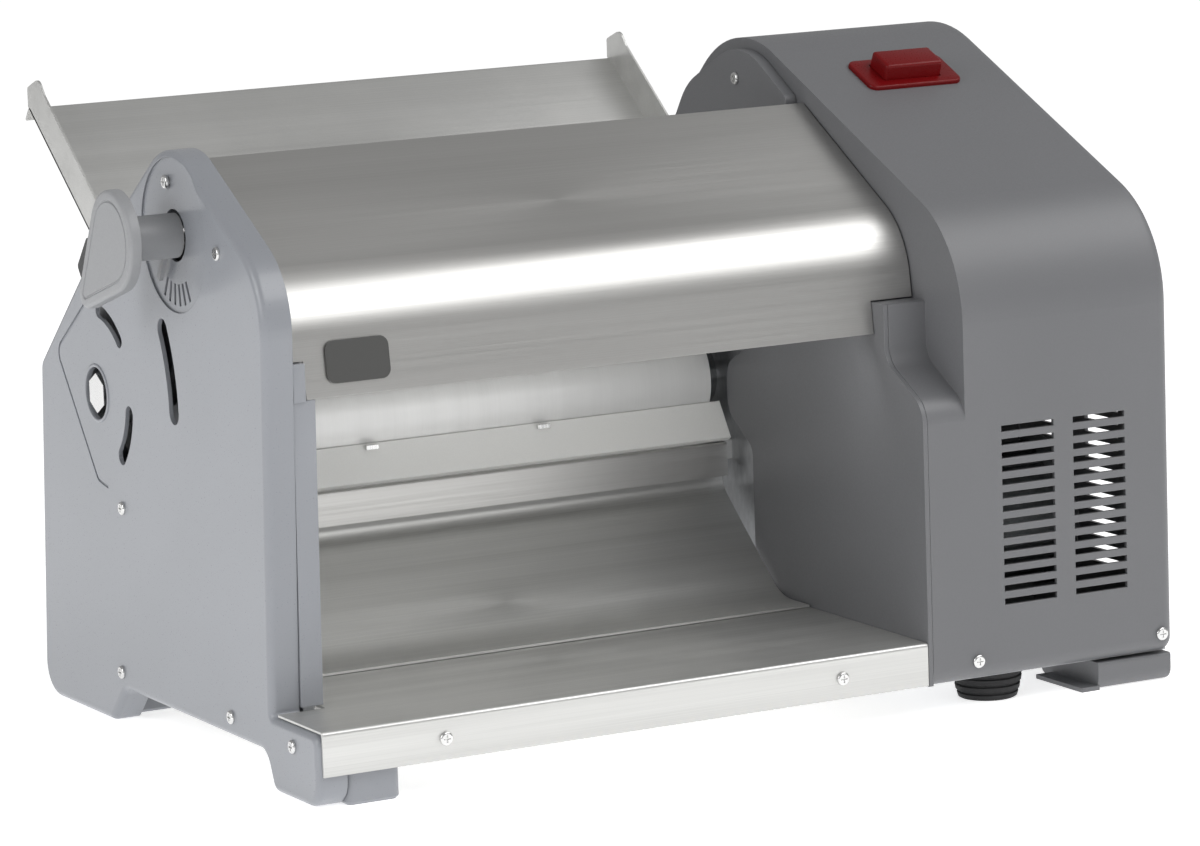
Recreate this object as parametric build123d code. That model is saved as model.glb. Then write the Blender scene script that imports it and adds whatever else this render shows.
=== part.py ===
from build123d import *
import math
import os

# Bench dough sheeter. Working axes: X left to right, Y front to back, Z up, millimetres.

# Overall sizes
opening_width = 407.2      # clear width between the two inner cheeks
body_depth = 441.0         # front flange to the back of the side covers
body_height = 426.0        # floor to the top of the drive casing
left_cover_width = 20.0    # outer plastic cover on the left
casing_width = 162.0       # drive casing, from its left wall to the right end
casing_neck = 32.2         # part of the casing that reaches left to the opening

# Rollers and gap setting
roller_diameter = 75.0
gap_at_rest = 1.0
lever_turn = 64.0          # full travel of the gap lever, degrees
cam_throw = 6.8
cam_radius = 15.0
cross_shaft_radius = 8.0
journal_radius = 12.5
running_fit = 0.06
sleeve_wall = 7.0
roller_end_gap = 8.4

# Gears, pulleys and motor
roller_gear_teeth = 19
drive_gear_teeth = 56
pinion_teeth = 16
drive_module = 2.5
backlash = 0.5
large_pulley_radius = 60.0
small_pulley_radius = 22.0
motor_radius = 52.0

# Sheet and wall thicknesses
wall = 3.0
sheet = 1.5
side_plate = 8.0
cap_wall = 2.0
part_gap = 0.3
gland_height = 46.0        # middle of the cable gland above the floor

# Side positions that follow from the sizes
inner_left = 35.6
inner_right = inner_left + opening_width
casing_left = inner_right + casing_neck
right_end = casing_left + casing_width
ky = body_depth / 441.0
kz = body_height / 426.0
plate_left = 24.0
plate_right = inner_right + 5.2

# Axes, as (y, z)
lower_axis = (303.0 * ky, 192.0 * kz)
cross_axis = (186.0 * ky, 342.0 * kz)
guard_axis = (193.0 * ky, 376.0 * kz)
tray_axis = (368.0 * ky, 312.0 * kz)
roller_radius = roller_diameter / 2
line_y = cross_axis[0] - lower_axis[0]
line_z = cross_axis[1] - lower_axis[1]
line_length = math.hypot(line_y, line_z)
lift_dir = (line_y / line_length, line_z / line_length)
side_dir = (lift_dir[1], -lift_dir[0])
lift_angle = math.degrees(math.atan2(lift_dir[1], lift_dir[0]))
centre_distance = roller_diameter + gap_at_rest
upper_axis = (lower_axis[0] + centre_distance * lift_dir[0], lower_axis[1] + centre_distance * lift_dir[1])
half_turn = math.radians(lever_turn / 2)
lift_travel = 2 * cam_throw * math.sin(half_turn)
bolt_axis = (324.0 * ky, 223.0 * kz)
drive_distance = drive_module * (drive_gear_teeth + pinion_teeth) / 2
jack_axis = (lower_axis[0] - 0.9 * drive_distance, lower_axis[1] - math.sqrt(1 - 0.81) * drive_distance)
motor_axis = (jack_axis[0] - 104.0, jack_axis[1] - 48.0)

# Layers across the width, inside the drive casing
yoke_x = plate_right + side_plate + 1.5
gear_x = inner_right + 27.2
big_gear_x = gear_x + 16.0
pulley_x = big_gear_x + 16.0
motor_x = pulley_x + 22.0


def rounded_face(corners, x):
    """Flat face across the width at x. Each corner is (y, z, radius), listed anticlockwise."""
    count = len(corners)
    runs = []
    for i in range(count):
        y0, z0 = corners[i - 1][0], corners[i - 1][1]
        y1, z1, radius = corners[i]
        y2, z2 = corners[(i + 1) % count][0], corners[(i + 1) % count][1]
        in_len = math.hypot(y1 - y0, z1 - z0)
        out_len = math.hypot(y2 - y1, z2 - z1)
        u = ((y1 - y0) / in_len, (z1 - z0) / in_len)
        v = ((y2 - y1) / out_len, (z2 - z1) / out_len)
        turn = math.atan2(u[0] * v[1] - u[1] * v[0], u[0] * v[0] + u[1] * v[1])
        if radius <= 0 or abs(turn) < 0.02:
            runs.append(((y1, z1), None, (y1, z1)))
            continue
        reach = min(radius * math.tan(abs(turn) / 2), 0.46 * in_len, 0.46 * out_len)
        used = reach / math.tan(abs(turn) / 2)
        start = (y1 - u[0] * reach, z1 - u[1] * reach)
        end = (y1 + v[0] * reach, z1 + v[1] * reach)
        side = 1 if turn > 0 else -1
        centre = (start[0] - u[1] * used * side, start[1] + u[0] * used * side)
        to_corner = (y1 - centre[0], z1 - centre[1])
        away = math.hypot(to_corner[0], to_corner[1])
        middle = (centre[0] + to_corner[0] / away * used, centre[1] + to_corner[1] / away * used)
        runs.append((start, middle, end))
    edges = []
    for i in range(count):
        before = runs[i - 1][2]
        start, middle, end = runs[i]
        if math.hypot(start[0] - before[0], start[1] - before[1]) > 0.001:
            edges.append(Line((x, before[0], before[1]), (x, start[0], start[1])))
        if middle is not None:
            edges.append(ThreePointArc((x, start[0], start[1]), (x, middle[0], middle[1]), (x, end[0], end[1])))
    return make_face(Wire(edges))


def prism(corners, x0, x1):
    """Solid with the given outline in side view, from x0 to x1."""
    return extrude(rounded_face(corners, x0), amount=x1 - x0, dir=(1, 0, 0))


def inset(corners, distance):
    """Same anticlockwise outline, moved inwards by a constant distance."""
    result = []
    count = len(corners)
    for i in range(count):
        y0, z0 = corners[i - 1][0], corners[i - 1][1]
        y1, z1, radius = corners[i]
        y2, z2 = corners[(i + 1) % count][0], corners[(i + 1) % count][1]
        in_len = math.hypot(y1 - y0, z1 - z0)
        out_len = math.hypot(y2 - y1, z2 - z1)
        u = ((y1 - y0) / in_len, (z1 - z0) / in_len)
        v = ((y2 - y1) / out_len, (z2 - z1) / out_len)
        cross = u[0] * v[1] - u[1] * v[0]
        dot = u[0] * v[0] + u[1] * v[1]
        scale = distance / (1 + dot)
        new_y = y1 + (-u[1] - v[1]) * scale
        new_z = z1 + (u[0] + v[0]) * scale
        new_radius = max(radius - distance, 0.4) if cross > 0 else radius + distance
        result.append((new_y, new_z, new_radius))
    return result


def strip(path, thickness):
    """Bent sheet seen edge on: the path and its copy moved to the left by the thickness."""
    left = []
    count = len(path)
    for i in range(count):
        y1, z1, radius = path[i]
        u = None
        v = None
        if i > 0:
            length = math.hypot(y1 - path[i - 1][0], z1 - path[i - 1][1])
            u = ((y1 - path[i - 1][0]) / length, (z1 - path[i - 1][1]) / length)
        if i < count - 1:
            length = math.hypot(path[i + 1][0] - y1, path[i + 1][1] - z1)
            v = ((path[i + 1][0] - y1) / length, (path[i + 1][1] - z1) / length)
        u = u or v
        v = v or u
        scale = thickness / (1 + u[0] * v[0] + u[1] * v[1])
        cross = u[0] * v[1] - u[1] * v[0]
        if radius <= 0:
            new_radius = 0
        elif cross > 0:
            new_radius = max(radius - thickness, 0.3)
        else:
            new_radius = radius + thickness
        left.append((y1 + (-u[1] - v[1]) * scale, z1 + (u[0] + v[0]) * scale, new_radius))
    return list(path) + left[::-1]


def scaled(corners):
    """Corner list stretched to the chosen depth and height."""
    return [(y * ky, z * kz, r) for y, z, r in corners]


def rod(axis, radius, x0, x1):
    """Round bar along the width."""
    return Pos((x0 + x1) / 2, axis[0], axis[1]) * Rot(0, 90, 0) * Cylinder(radius, x1 - x0)


def slab(x0, x1, y0, y1, z0, z1):
    """Plain rectangular block between two corners."""
    return Pos((x0 + x1) / 2, (y0 + y1) / 2, (z0 + z1) / 2) * Box(x1 - x0, y1 - y0, z1 - z0)


def lift_point(along, across):
    """Point in side view, measured from the upper roller axis along the line of roller centres."""
    return (upper_axis[0] + along * lift_dir[0] + across * side_dir[0],
            upper_axis[1] + along * lift_dir[1] + across * side_dir[1])


def lift_block(x0, x1, along0, along1, across0, across1):
    """Rectangular block squared up to the line of roller centres."""
    centre = lift_point((along0 + along1) / 2, (across0 + across1) / 2)
    block = Box(x1 - x0, along1 - along0, across1 - across0)
    return Pos((x0 + x1) / 2, centre[0], centre[1]) * Rot(lift_angle, 0, 0) * block


def loop_prism(c1, r1, c2, r2, x0, x1):
    """Solid inside a band pulled tight round two circles."""
    distance = math.hypot(c2[0] - c1[0], c2[1] - c1[1])
    heading = math.atan2(c2[1] - c1[1], c2[0] - c1[0])
    spread = math.acos((r1 - r2) / distance)
    points = []
    for centre, radius, sign in ((c1, r1, -1), (c2, r2, -1), (c2, r2, 1), (c1, r1, 1)):
        angle = heading + sign * spread
        points.append((centre[0] + radius * math.cos(angle), centre[1] + radius * math.sin(angle), 0))
    return prism(points, x0, x1) + rod(c1, r1, x0, x1) + rod(c2, r2, x0, x1)


def arc_slot(centre, radius, start, end, width, x0, x1):
    """Slot that follows part of a circle, with round ends."""
    steps = 8
    outer = []
    inner = []
    for i in range(steps + 1):
        angle = math.radians(start + (end - start) * i / steps)
        outer.append((centre[0] + (radius + width / 2) * math.cos(angle),
                      centre[1] + (radius + width / 2) * math.sin(angle), 0))
        inner.append((centre[0] + (radius - width / 2) * math.cos(angle),
                      centre[1] + (radius - width / 2) * math.sin(angle), 0))
    body = prism(outer + inner[::-1], x0, x1)
    for angle in (math.radians(start), math.radians(end)):
        tip = (centre[0] + radius * math.cos(angle), centre[1] + radius * math.sin(angle))
        body += rod(tip, width / 2, x0, x1)
    return body


def gear(axis, teeth, module_size, first_tooth, x0, x1, bore):
    """Spur gear with involute flanks; first_tooth is the angle of one tooth, degrees."""
    pressure = math.radians(20)
    pitch_r = teeth * module_size / 2
    base_r = pitch_r * math.cos(pressure)
    tip_r = pitch_r + 0.95 * module_size
    root_r = pitch_r - 1.25 * module_size
    half_tooth = (math.pi * module_size / 2 - backlash) / 2 / pitch_r
    start_r = max(root_r, base_r)
    radii = [start_r, start_r + 0.35 * (tip_r - start_r), start_r + 0.7 * (tip_r - start_r), tip_r]
    flank = []
    for r in radii:
        swing = math.acos(min(1.0, base_r / r))
        flank.append((r, half_tooth + math.tan(pressure) - pressure - (math.tan(swing) - swing)))
    if root_r < start_r:
        flank.insert(0, (root_r, flank[0][1]))
    points = []
    for i in range(teeth):
        centre = math.radians(first_tooth) + 2 * math.pi * i / teeth
        for r, half in flank:
            points.append((axis[0] + r * math.cos(centre - half), axis[1] + r * math.sin(centre - half), 0))
        for r, half in reversed(flank):
            points.append((axis[0] + r * math.cos(centre + half), axis[1] + r * math.sin(centre + half), 0))
    return prism(points, x0, x1) - rod(axis, bore, x0 - 1, x1 + 1)


def side_screw(x, axis, length):
    """Cross-head screw whose head stands on a face that looks left."""
    head = rod(axis, 4.5, x - 2.2, x)
    head = fillet(head.faces().sort_by(Axis.X)[0].edges(), 1.4)
    cross = slab(x - 3, x - 1.1, axis[0] - 2.4, axis[0] + 2.4, axis[1] - 0.45, axis[1] + 0.45)
    cross += slab(x - 3, x - 1.1, axis[0] - 0.45, axis[0] + 0.45, axis[1] - 2.4, axis[1] + 2.4)
    return head - cross + rod(axis, 2.2, x, x + length)


def front_screw(x, y, z, length):
    """Cross-head screw whose head stands on a face that looks forward."""
    return Pos(x, y, z) * Rot(0, 0, 90) * side_screw(0, (0, 0), length)


# Side outlines
left_outline = scaled([
    (2.0, 0.0, 18), (70.0, 0.0, 8), (80.0, 24.0, 14), (301.0, 25.0, 14), (326.0, 0.0, 8), (443.0, 0.0, 22),
    (422.0, 232.6, 12), (344.0, 300.6, 60), (193.0, 405.6, 52), (52.8, 324.7, 58), (69.0, 48.0, 3),
    (2.0, 48.0, 8)])
casing_outline = scaled([
    (0.0, 20.0, 10), (441.0, 20.0, 10), (441.0, 310.0, 45), (290.3, 443.4, 90), (0.0, 312.3, 85)])
neck_outline = scaled([
    (0.0, 20.0, 10), (441.0, 20.0, 10), (441.0, 235.0, 20), (380.0, 269.0, 4), (46.0, 269.0, 2),
    (46.0, 232.0, 18), (0.0, 206.0, 20)])
cap_outline = scaled([
    (206.2, 262.0, 3), (378.0, 262.0, 3), (378.0, 345.0, 20), (345.0, 391.0, 55), (268.0, 428.0, 60),
    (206.2, 392.0, 6)])
plate_outline = scaled([
    (72.0, 30.0, 4), (426.0, 30.0, 10), (410.0, 226.0, 8), (397.0, 240.0, 6), (398.0, 293.0, 6),
    (380.0, 320.0, 8), (356.0, 320.0, 6), (350.0, 300.0, 6), (330.0, 296.0, 8), (232.0, 366.0, 12), (186.0, 366.0, 12),
    (165.0, 354.0, 10), (98.0, 312.0, 10), (72.0, 274.0, 8)])

plate_screws = [(304.0 * ky, 37.0 * kz), (129.0 * ky, 37.5 * kz)]
short_screws = [(118.0 * ky, 337.0 * kz), (37.0 * ky, 35.0 * kz)]
thin_screw = (290.0 * ky, 150.0 * kz)


def make_left_cover():
    """Outer plastic cover of the left side: shell, bosses, slots, lever recess and scale."""
    body = prism(left_outline, 0, left_cover_width)
    body = fillet(body.faces().sort_by(Axis.X)[0].edges(), 5)
    body -= prism(inset(left_outline, wall), wall, left_cover_width + 1)
    for point in plate_screws:
        body += rod(point, 6, wall - 0.5, plate_left)
    for point in short_screws:
        body += rod(point, 6, wall - 0.5, left_cover_width - 0.5)
    body += rod(thin_screw, 6, wall - 0.5, 4.5)
    body += rod(guard_axis, 6.5, wall - 0.5, left_cover_width)
    body -= rod(cross_axis, 50 * ky, -1, 1.2)
    for i in range(6):
        angle = math.radians(-116 + 10.5 * i)
        centre = (cross_axis[0] + 38.5 * math.cos(angle), cross_axis[1] + 38.5 * math.sin(angle))
        slit = Pos(wall / 2, centre[0], centre[1]) * Rot(math.degrees(angle), 0, 0) * Box(wall + 2, 14, 3.0)
        body -= slit
    body -= rod(cross_axis, 17, -1, wall + 1)
    body -= rod(bolt_axis, 17.5, -1, wall + 1)
    body -= arc_slot(bolt_axis, 126 * ky, 154, 179, 15, -1, wall + 1)
    body -= arc_slot(bolt_axis, 57 * ky, 99, 136, 9.5, -1, wall + 1)
    body -= arc_slot(bolt_axis, 53 * ky, 189, 225, 12, -1, wall + 1)
    groove = scaled([(330.0, 288.5, 0), (392.0, 245.0, 10), (330.0, 163.0, 8), (313.0, 160.0, 0)])
    body -= prism(strip(groove, -2.2)[::-1], -1, 1.0)
    for point in plate_screws + short_screws + [thin_screw]:
        body -= rod(point, 2.4, -1, plate_left + 1)
    body -= rod(guard_axis, 3.0, -1, left_cover_width + 1)
    return body


def make_left_feet():
    """Two foot blocks that widen the left cover under the tray."""
    front = slab(left_cover_width + part_gap, 58, 5 * ky, 62 * ky, 0, 21)
    front = fillet(front.edges().filter_by(Axis.Z), 5)
    front = chamfer(front.faces().sort_by(Axis.Z)[0].edges(), 2)
    back = slab(left_cover_width + part_gap, 52, 336 * ky, 412 * ky, 0, 23)
    back = fillet(back.edges().filter_by(Axis.Z), 5)
    back = chamfer(back.faces().sort_by(Axis.Z)[0].edges(), 2)
    post = slab(plate_left, plate_left + side_plate, 345 * ky, 405 * ky, 23, 30 * kz)
    return [front, back + post]


def make_left_cheek():
    """Plastic cheek on the left of the opening, with a stepped front edge."""
    x0 = left_cover_width + 0.4
    outline = scaled([(67.5, 52.0, 0), (225.0, 52.0, 2), (225.0, 150.0, 10), (258.0, 172.0, 18),
                      (258.0, 205.0, 16), (212.0, 228.0, 12), (212.0, 271.0, 6), (66.0, 271.0, 2),
                      (64.8, 247.5, 0), (59.5, 247.5, 0)])
    inner = prism(outline, inner_left - 2.6, inner_left)
    front = prism([(69.5 * ky, 52.0 * kz, 0), (63.0 * ky, 248.0 * kz, 0), (58.8 * ky, 248.0 * kz, 0),
                   (66.5 * ky, 52.0 * kz, 0)], x0, inner_left)
    tab = prism([(57.5 * ky, 247.0 * kz, 0), (69.0 * ky, 247.0 * kz, 0), (69.0 * ky, 271.5 * kz, 0),
                 (57.5 * ky, 271.5 * kz, 0)], x0, 28.8)
    body = inner + front + tab
    body += slab(x0, inner_left, 66 * ky, 69 * ky, 247 * kz, 271 * kz)
    body -= rod((110 * ky, 38 * kz), 8, x0, inner_left + 1)
    return body


def make_right_cheek():
    """Plastic cheek on the right of the opening; its front edge sweeps forward in an S."""
    outline = scaled([(0.0, 20.5, 1), (225.0, 20.5, 2), (225.0, 150.0, 10), (258.0, 172.0, 18),
                      (258.0, 205.0, 16), (212.0, 228.0, 12), (212.0, 269.0, 6), (46.0, 269.0, 2),
                      (46.0, 232.0, 18), (0.0, 206.0, 20)])
    body = prism(outline, inner_right, inner_right + 3.2)
    return body - rod((110 * ky, 38 * kz), 8, inner_right - 1, inner_right + 4)


def make_side_plate(x0):
    """Steel side plate with the bearing seat, carriage window and tie bar holes."""
    x1 = x0 + side_plate
    body = prism(plate_outline, x0, x1)
    body -= rod(lower_axis, 22, x0 - 1, x1 + 1)
    body -= rod(cross_axis, cross_shaft_radius + running_fit, x0 - 1, x1 + 1)
    body -= lift_block(x0 - 1, x1 + 1, -22.3, 22.3 + lift_travel + 0.4, -22.3, 22.3)
    body -= rod(tray_axis, 4, x0 - 1, x1 + 1)
    for bolt in bearing_bolt_points():
        body -= rod(bolt, 8, x0 - 1, x1 + 1)
    return body


def bearing_bolt_points():
    """The two bolts of a lower bearing, one above and one below the roller axis."""
    dy = bolt_axis[0] - lower_axis[0]
    dz = bolt_axis[1] - lower_axis[1]
    return [bolt_axis, (lower_axis[0] + dy, lower_axis[1] - dz)]


def make_lower_bearing(x_plate, outward):
    """Two-bolt flanged bearing of the lower roller, spigot in the side plate."""
    flange_0 = x_plate + side_plate if outward > 0 else x_plate - 10
    flange_1 = flange_0 + 6 if outward > 0 else x_plate
    bolts = bearing_bolt_points()
    body = loop_prism(bolts[0], 15, lower_axis, 29, flange_0, flange_1)
    body += loop_prism(lower_axis, 29, bolts[1], 15, flange_0, flange_1)
    body += rod(lower_axis, 22, x_plate, x_plate + side_plate)
    body -= rod(lower_axis, journal_radius + running_fit, x_plate - 11, x_plate + side_plate + 11)
    for bolt in bolts:
        body -= rod(bolt, 8, x_plate - 11, x_plate + side_plate + 11)
    return body


def make_bearing_bolts():
    """Hexagon bolts that hold both lower bearings, heads outwards."""
    bolts = []
    right_face = plate_right + side_plate + 6
    for point in bearing_bolt_points():
        if point == bolt_axis:
            spacer_end = 5.5
        else:
            spacer_end = plate_left - 10
        left_head = Rot(0, -90, 0) * extrude(RegularPolygon(13.5, 6), amount=6)
        bolts.append(Pos(spacer_end, point[0], point[1]) * left_head
                     + rod(point, 12, spacer_end, plate_left - 10 + 0.01)
                     + rod(point, 8, plate_left - 10, plate_left + side_plate))
        right_head = Rot(0, 90, 0) * extrude(RegularPolygon(13.5, 6), amount=7)
        bolts.append(Pos(right_face, point[0], point[1]) * right_head
                     + rod(point, 8, plate_right, right_face))
    return bolts


def make_carriage(x0, x1):
    """Sliding block that carries one end of the upper roller."""
    body = lift_block(x0, x1, -22, 22, -22, 22)
    return body - rod(upper_axis, journal_radius + running_fit, x0 - 1, x1 + 1)


def make_yoke(x0, pierced):
    """Plate with the window that the cam turns in; it lifts the carriage."""
    x1 = x0 + side_plate
    cam_along = line_length - centre_distance - cam_throw * math.sin(half_turn)
    top = cam_along + cam_radius + part_gap + 6
    body = lift_block(x0, x1, -22, top, -30, 17)
    body -= lift_block(x0 - 1, x1 + 1, cam_along - cam_radius - part_gap, cam_along + cam_radius + part_gap,
                       -cam_radius - cam_throw - 1, cam_radius - cam_throw * math.cos(half_turn) + 1)
    if pierced:
        body -= rod(upper_axis, journal_radius + 1, x0 - 1, x1 + 1)
    return body


def cam_centre():
    """Centre of the cam discs with the lever at rest."""
    angle = math.radians(lift_angle + 90) + half_turn
    return (cross_axis[0] + cam_throw * math.cos(angle), cross_axis[1] + cam_throw * math.sin(angle))


def make_cams():
    """Off-centre discs on the cross shaft, one in each yoke."""
    cams = []
    for x0 in (9.0, yoke_x):
        disc = rod(cam_centre(), cam_radius, x0, x0 + side_plate)
        cams.append(disc - rod(cross_axis, cross_shaft_radius, x0 - 1, x0 + side_plate + 1))
    return cams


def make_lever_plate():
    """Flat drop-shaped handle of the gap lever."""
    tip = (cross_axis[0] + 45, cross_axis[1] - 38)
    body = loop_prism(cross_axis, 33, tip, 10, -44, -36)
    body = fillet(body.faces().sort_by(Axis.X)[0].edges(), 2)
    rim = loop_prism(cross_axis, 24, (cross_axis[0] + 38, cross_axis[1] - 32), 6, -45, -42.8)
    core = loop_prism(cross_axis, 22.6, (cross_axis[0] + 38, cross_axis[1] - 32), 4.6, -45, -42.8)
    return body - (rim - core)


def make_lever_hub():
    """Round hub of the lever, with the pointer that reads against the scale."""
    body = rod(cross_axis, 14.5, -36, 1.5)
    angle = math.radians(-58)
    pointer = Pos(-2.6, cross_axis[0] + 23 * math.cos(angle), cross_axis[1] + 23 * math.sin(angle))
    body += pointer * Rot(-58, 0, 0) * Box(3, 24, 4)
    return body - rod(cross_axis, cross_shaft_radius, -37, 3)


def make_sleeve(axis):
    """Roller tube."""
    x0 = inner_left + roller_end_gap
    x1 = inner_right - roller_end_gap
    body = rod(axis, roller_radius, x0, x1)
    return body - rod(axis, roller_radius - sleeve_wall, x0 - 1, x1 + 1)


def make_roller_shaft(axis, x_start, x_stop):
    """Roller shaft with the two end discs that close the tube."""
    x0 = inner_left + roller_end_gap
    x1 = inner_right - roller_end_gap
    body = rod(axis, journal_radius, x_start, x_stop)
    body += rod(axis, roller_radius - sleeve_wall, x0, x0 + 9)
    body += rod(axis, roller_radius - sleeve_wall, x1 - 9, x1)
    return body


def make_pulley(axis, radius, x0, bore):
    """V-belt pulley."""
    x1 = x0 + 16
    body = rod(axis, radius + 2.5, x0, x1)
    ring = rod(axis, radius + 4, x0 + 2.5, x1 - 2.5) - rod(axis, radius - 9, x0 + 2, x1 - 2)
    body -= ring
    return body - rod(axis, bore, x0 - 1, x1 + 1)


def make_belt():
    """Drive belt round both pulleys."""
    x0 = pulley_x + 3
    x1 = pulley_x + 13
    outer = loop_prism(jack_axis, large_pulley_radius + 1, motor_axis, small_pulley_radius + 1, x0, x1)
    inner = loop_prism(jack_axis, large_pulley_radius - 7, motor_axis, small_pulley_radius - 7, x0 - 1, x1 + 1)
    return outer - inner


def make_casing():
    """Drive casing: one plastic shell with its neck, vents and openings."""
    body = prism(casing_outline, casing_left, right_end)
    body = fillet(body.faces().sort_by(Axis.X)[-1].edges(), 9)
    body += prism(neck_outline, inner_right + 3.5, casing_left + 1)
    body -= prism(inset(casing_outline, wall), casing_left + wall, right_end - wall)
    body -= prism(inset(neck_outline, wall), inner_right + 3, casing_left + wall + 1)
    body -= slab(inner_right + 3, casing_left + 0.05, 62 * ky, 442 * ky, 240 * kz, 275 * kz)
    body -= prism(inset(cap_outline, cap_wall), casing_left - 1, casing_left + wall + 1)
    body -= slab(inner_right + 3, casing_left + wall + 1, 6 * ky, 435 * ky, 15, 24)
    body -= slab(casing_left + wall, right_end - wall, 6 * ky, 435 * ky, 15, 24)
    for row in range(14):
        z0 = 70.1 * kz + 8.9 * row * kz
        for x0 in (casing_left + 27.7, casing_left + 83.6):
            body -= slab(x0, x0 + 41, -1, wall + 2, z0 - 2.1, z0 + 2.1)
            body -= slab(x0, x0 + 41, 436 * ky, 443 * ky, z0 - 2.1, z0 + 2.1)
        for y0 in (60 * ky, 116 * ky):
            body -= slab(right_end - wall - 2, right_end + 1, y0, y0 + 41, z0 - 2.1, z0 + 2.1)
    body -= rod(guard_axis, 3.0, casing_left - 1, casing_left + wall + 1)
    body -= switch_placed(slab(-24, 24, -12, 12, -20, 20))
    body -= Pos(right_end - 40, 441 * ky, gland_height) * Rot(90, 0, 0) * Cylinder(8, 20)
    for x in (casing_left + 6, right_end - 11):
        body -= Pos(x, 0, 33) * Rot(90, 0, 0) * Cylinder(2.4, 20)
    return body


def switch_placed(shape):
    """Moves a piece made about the origin onto the sloping top of the casing."""
    slope = math.degrees(math.atan2(131.1 * kz, 290.3 * ky))
    y = 197.5 * ky
    z = 312.3 * kz + y * math.tan(math.radians(slope))
    return Pos(casing_left + 80.7, y, z) * Rot(slope, 0, 0) * shape


def make_cap():
    """Round-topped cover over the gears, between the rollers and the casing."""
    x0 = gear_x - 3.7
    body = prism(cap_outline, x0, casing_left - 0.3)
    body -= prism(inset(cap_outline, cap_wall), x0 + cap_wall, casing_left)
    body -= slab(x0 - 1, casing_left + 1, 200 * ky, 385 * ky, 250 * kz, 273 * kz)
    return body - rod((274 * ky, 400 * kz), 2.4, x0 - 1, x0 + 4)


def make_base_plate():
    """Steel floor of the drive casing."""
    return slab(inner_right + 8, right_end - wall - 0.5, 7 * ky, 434 * ky, 20.3, 22.8)


def make_foot_rail():
    """Plastic foot rail under the right end, with a thin lip to the left."""
    outline = scaled([(3.0, 0.0, 14), (70.0, 0.0, 8), (80.0, 12.0, 10), (318.0, 12.0, 10), (328.0, 0.0, 8),
                      (436.0, 0.0, 14), (436.0, 18.7, 1), (3.0, 18.7, 2)])
    x0 = right_end - 60
    body = prism(outline, x0, right_end - 2)
    body += slab(x0 - 13, x0 + 1, 3.5 * ky, 60 * ky, 0, 3)
    body += slab(x0 + 20, x0 + 40, 30 * ky, 50 * ky, 18, 20.3)
    body += slab(x0 + 20, x0 + 40, 380 * ky, 400 * ky, 18, 20.3)
    return body


def make_rubber_feet():
    """Tapered ribbed rubber feet under the casing."""
    feet = []
    for y in (36 * ky, 400 * ky):
        foot = Pos(casing_left + 35, y, 10.15) * Cone(20, 24, 20.3)
        for i in range(3):
            groove = Pos(casing_left + 35, y, 5 + 5 * i) * (Cylinder(30, 1) - Cylinder(20 + i, 1))
            foot -= groove
        feet.append(foot)
    return feet


def make_tray():
    """Flat discharge tray with its front flange."""
    path = [(0.0, 21.4 * kz, 0), (0.0, 50.0 * kz, 2.6), (222.0 * ky, 50.0 * kz, 0)]
    body = prism(strip(path, -sheet)[::-1], 3.0, inner_right - 0.6)
    body -= slab(0, inner_left + 0.6, 64.5 * ky, 230 * ky, 40 * kz, 60 * kz)
    for x in (88.0, inner_right - 66):
        body -= Pos(x, 0, 35 * kz) * Rot(90, 0, 0) * Cylinder(2.4, 20)
    return body


def make_chute():
    """Curved stainless chute that guides the sheet of dough down onto the tray."""
    path = scaled([(150.0, 52.0, 0), (188.0, 52.0, 40), (264.5, 118.0, 30), (266.3, 134.0, 0)])
    return prism(strip(path, -sheet)[::-1], inner_left + 2, inner_right - 2)


def make_scraper_bar():
    """Angle bar across the opening that carries the lower scraper."""
    path = [(255.0 * ky, 127.0 * kz, 0), (255.0 * ky, 150.5 * kz, 2), (277.0 * ky, 150.5 * kz, 0)]
    body = prism(strip(path, -2.0)[::-1], inner_left + 3, inner_right - 3)
    for x0 in (plate_left + side_plate, inner_right - 3.5):
        x1 = inner_left + 3.5 if x0 < inner_right / 2 else plate_right
        body += slab(x0, x1, 263 * ky, 277 * ky, 137 * kz, 150.5 * kz)
    return body


def scraper_outline(axis, contact_deg, lean_deg, length):
    """Blade outline in side view, its tip just clear of the roller."""
    contact = math.radians(contact_deg)
    tip = (axis[0] + (roller_radius + 0.6) * math.cos(contact), axis[1] + (roller_radius + 0.6) * math.sin(contact))
    lean = math.radians(lean_deg)
    run = (math.cos(lean), math.sin(lean))
    side = (-run[1], run[0])
    return [tip, run, side, length]


def make_scraper(axis, contact_deg, lean_deg, length, thickness, x0, x1):
    """Plastic scraper blade with a sharpened tip."""
    tip, run, side, reach = scraper_outline(axis, contact_deg, lean_deg, length)
    points = [(tip[0], tip[1], 0),
              (tip[0] + 7 * run[0] + thickness * side[0], tip[1] + 7 * run[1] + thickness * side[1], 0),
              (tip[0] + reach * run[0] + thickness * side[0], tip[1] + reach * run[1] + thickness * side[1], 0),
              (tip[0] + reach * run[0], tip[1] + reach * run[1], 0)]
    area = 0
    for i in range(4):
        j = (i + 1) % 4
        area += points[i][0] * points[j][1] - points[j][0] * points[i][1]
    if area < 0:
        points = points[::-1]
    return prism(points, x0, x1)


def make_tie_bars():
    """Round bars that hold the two side plates apart."""
    bars = []
    for y, z in ((110, 38), (400, 60), (322, 118), (395, 226), (120, 288)):
        bars.append(rod((y * ky, z * kz), 6.5, plate_left + side_plate, plate_right))
    return bars


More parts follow.
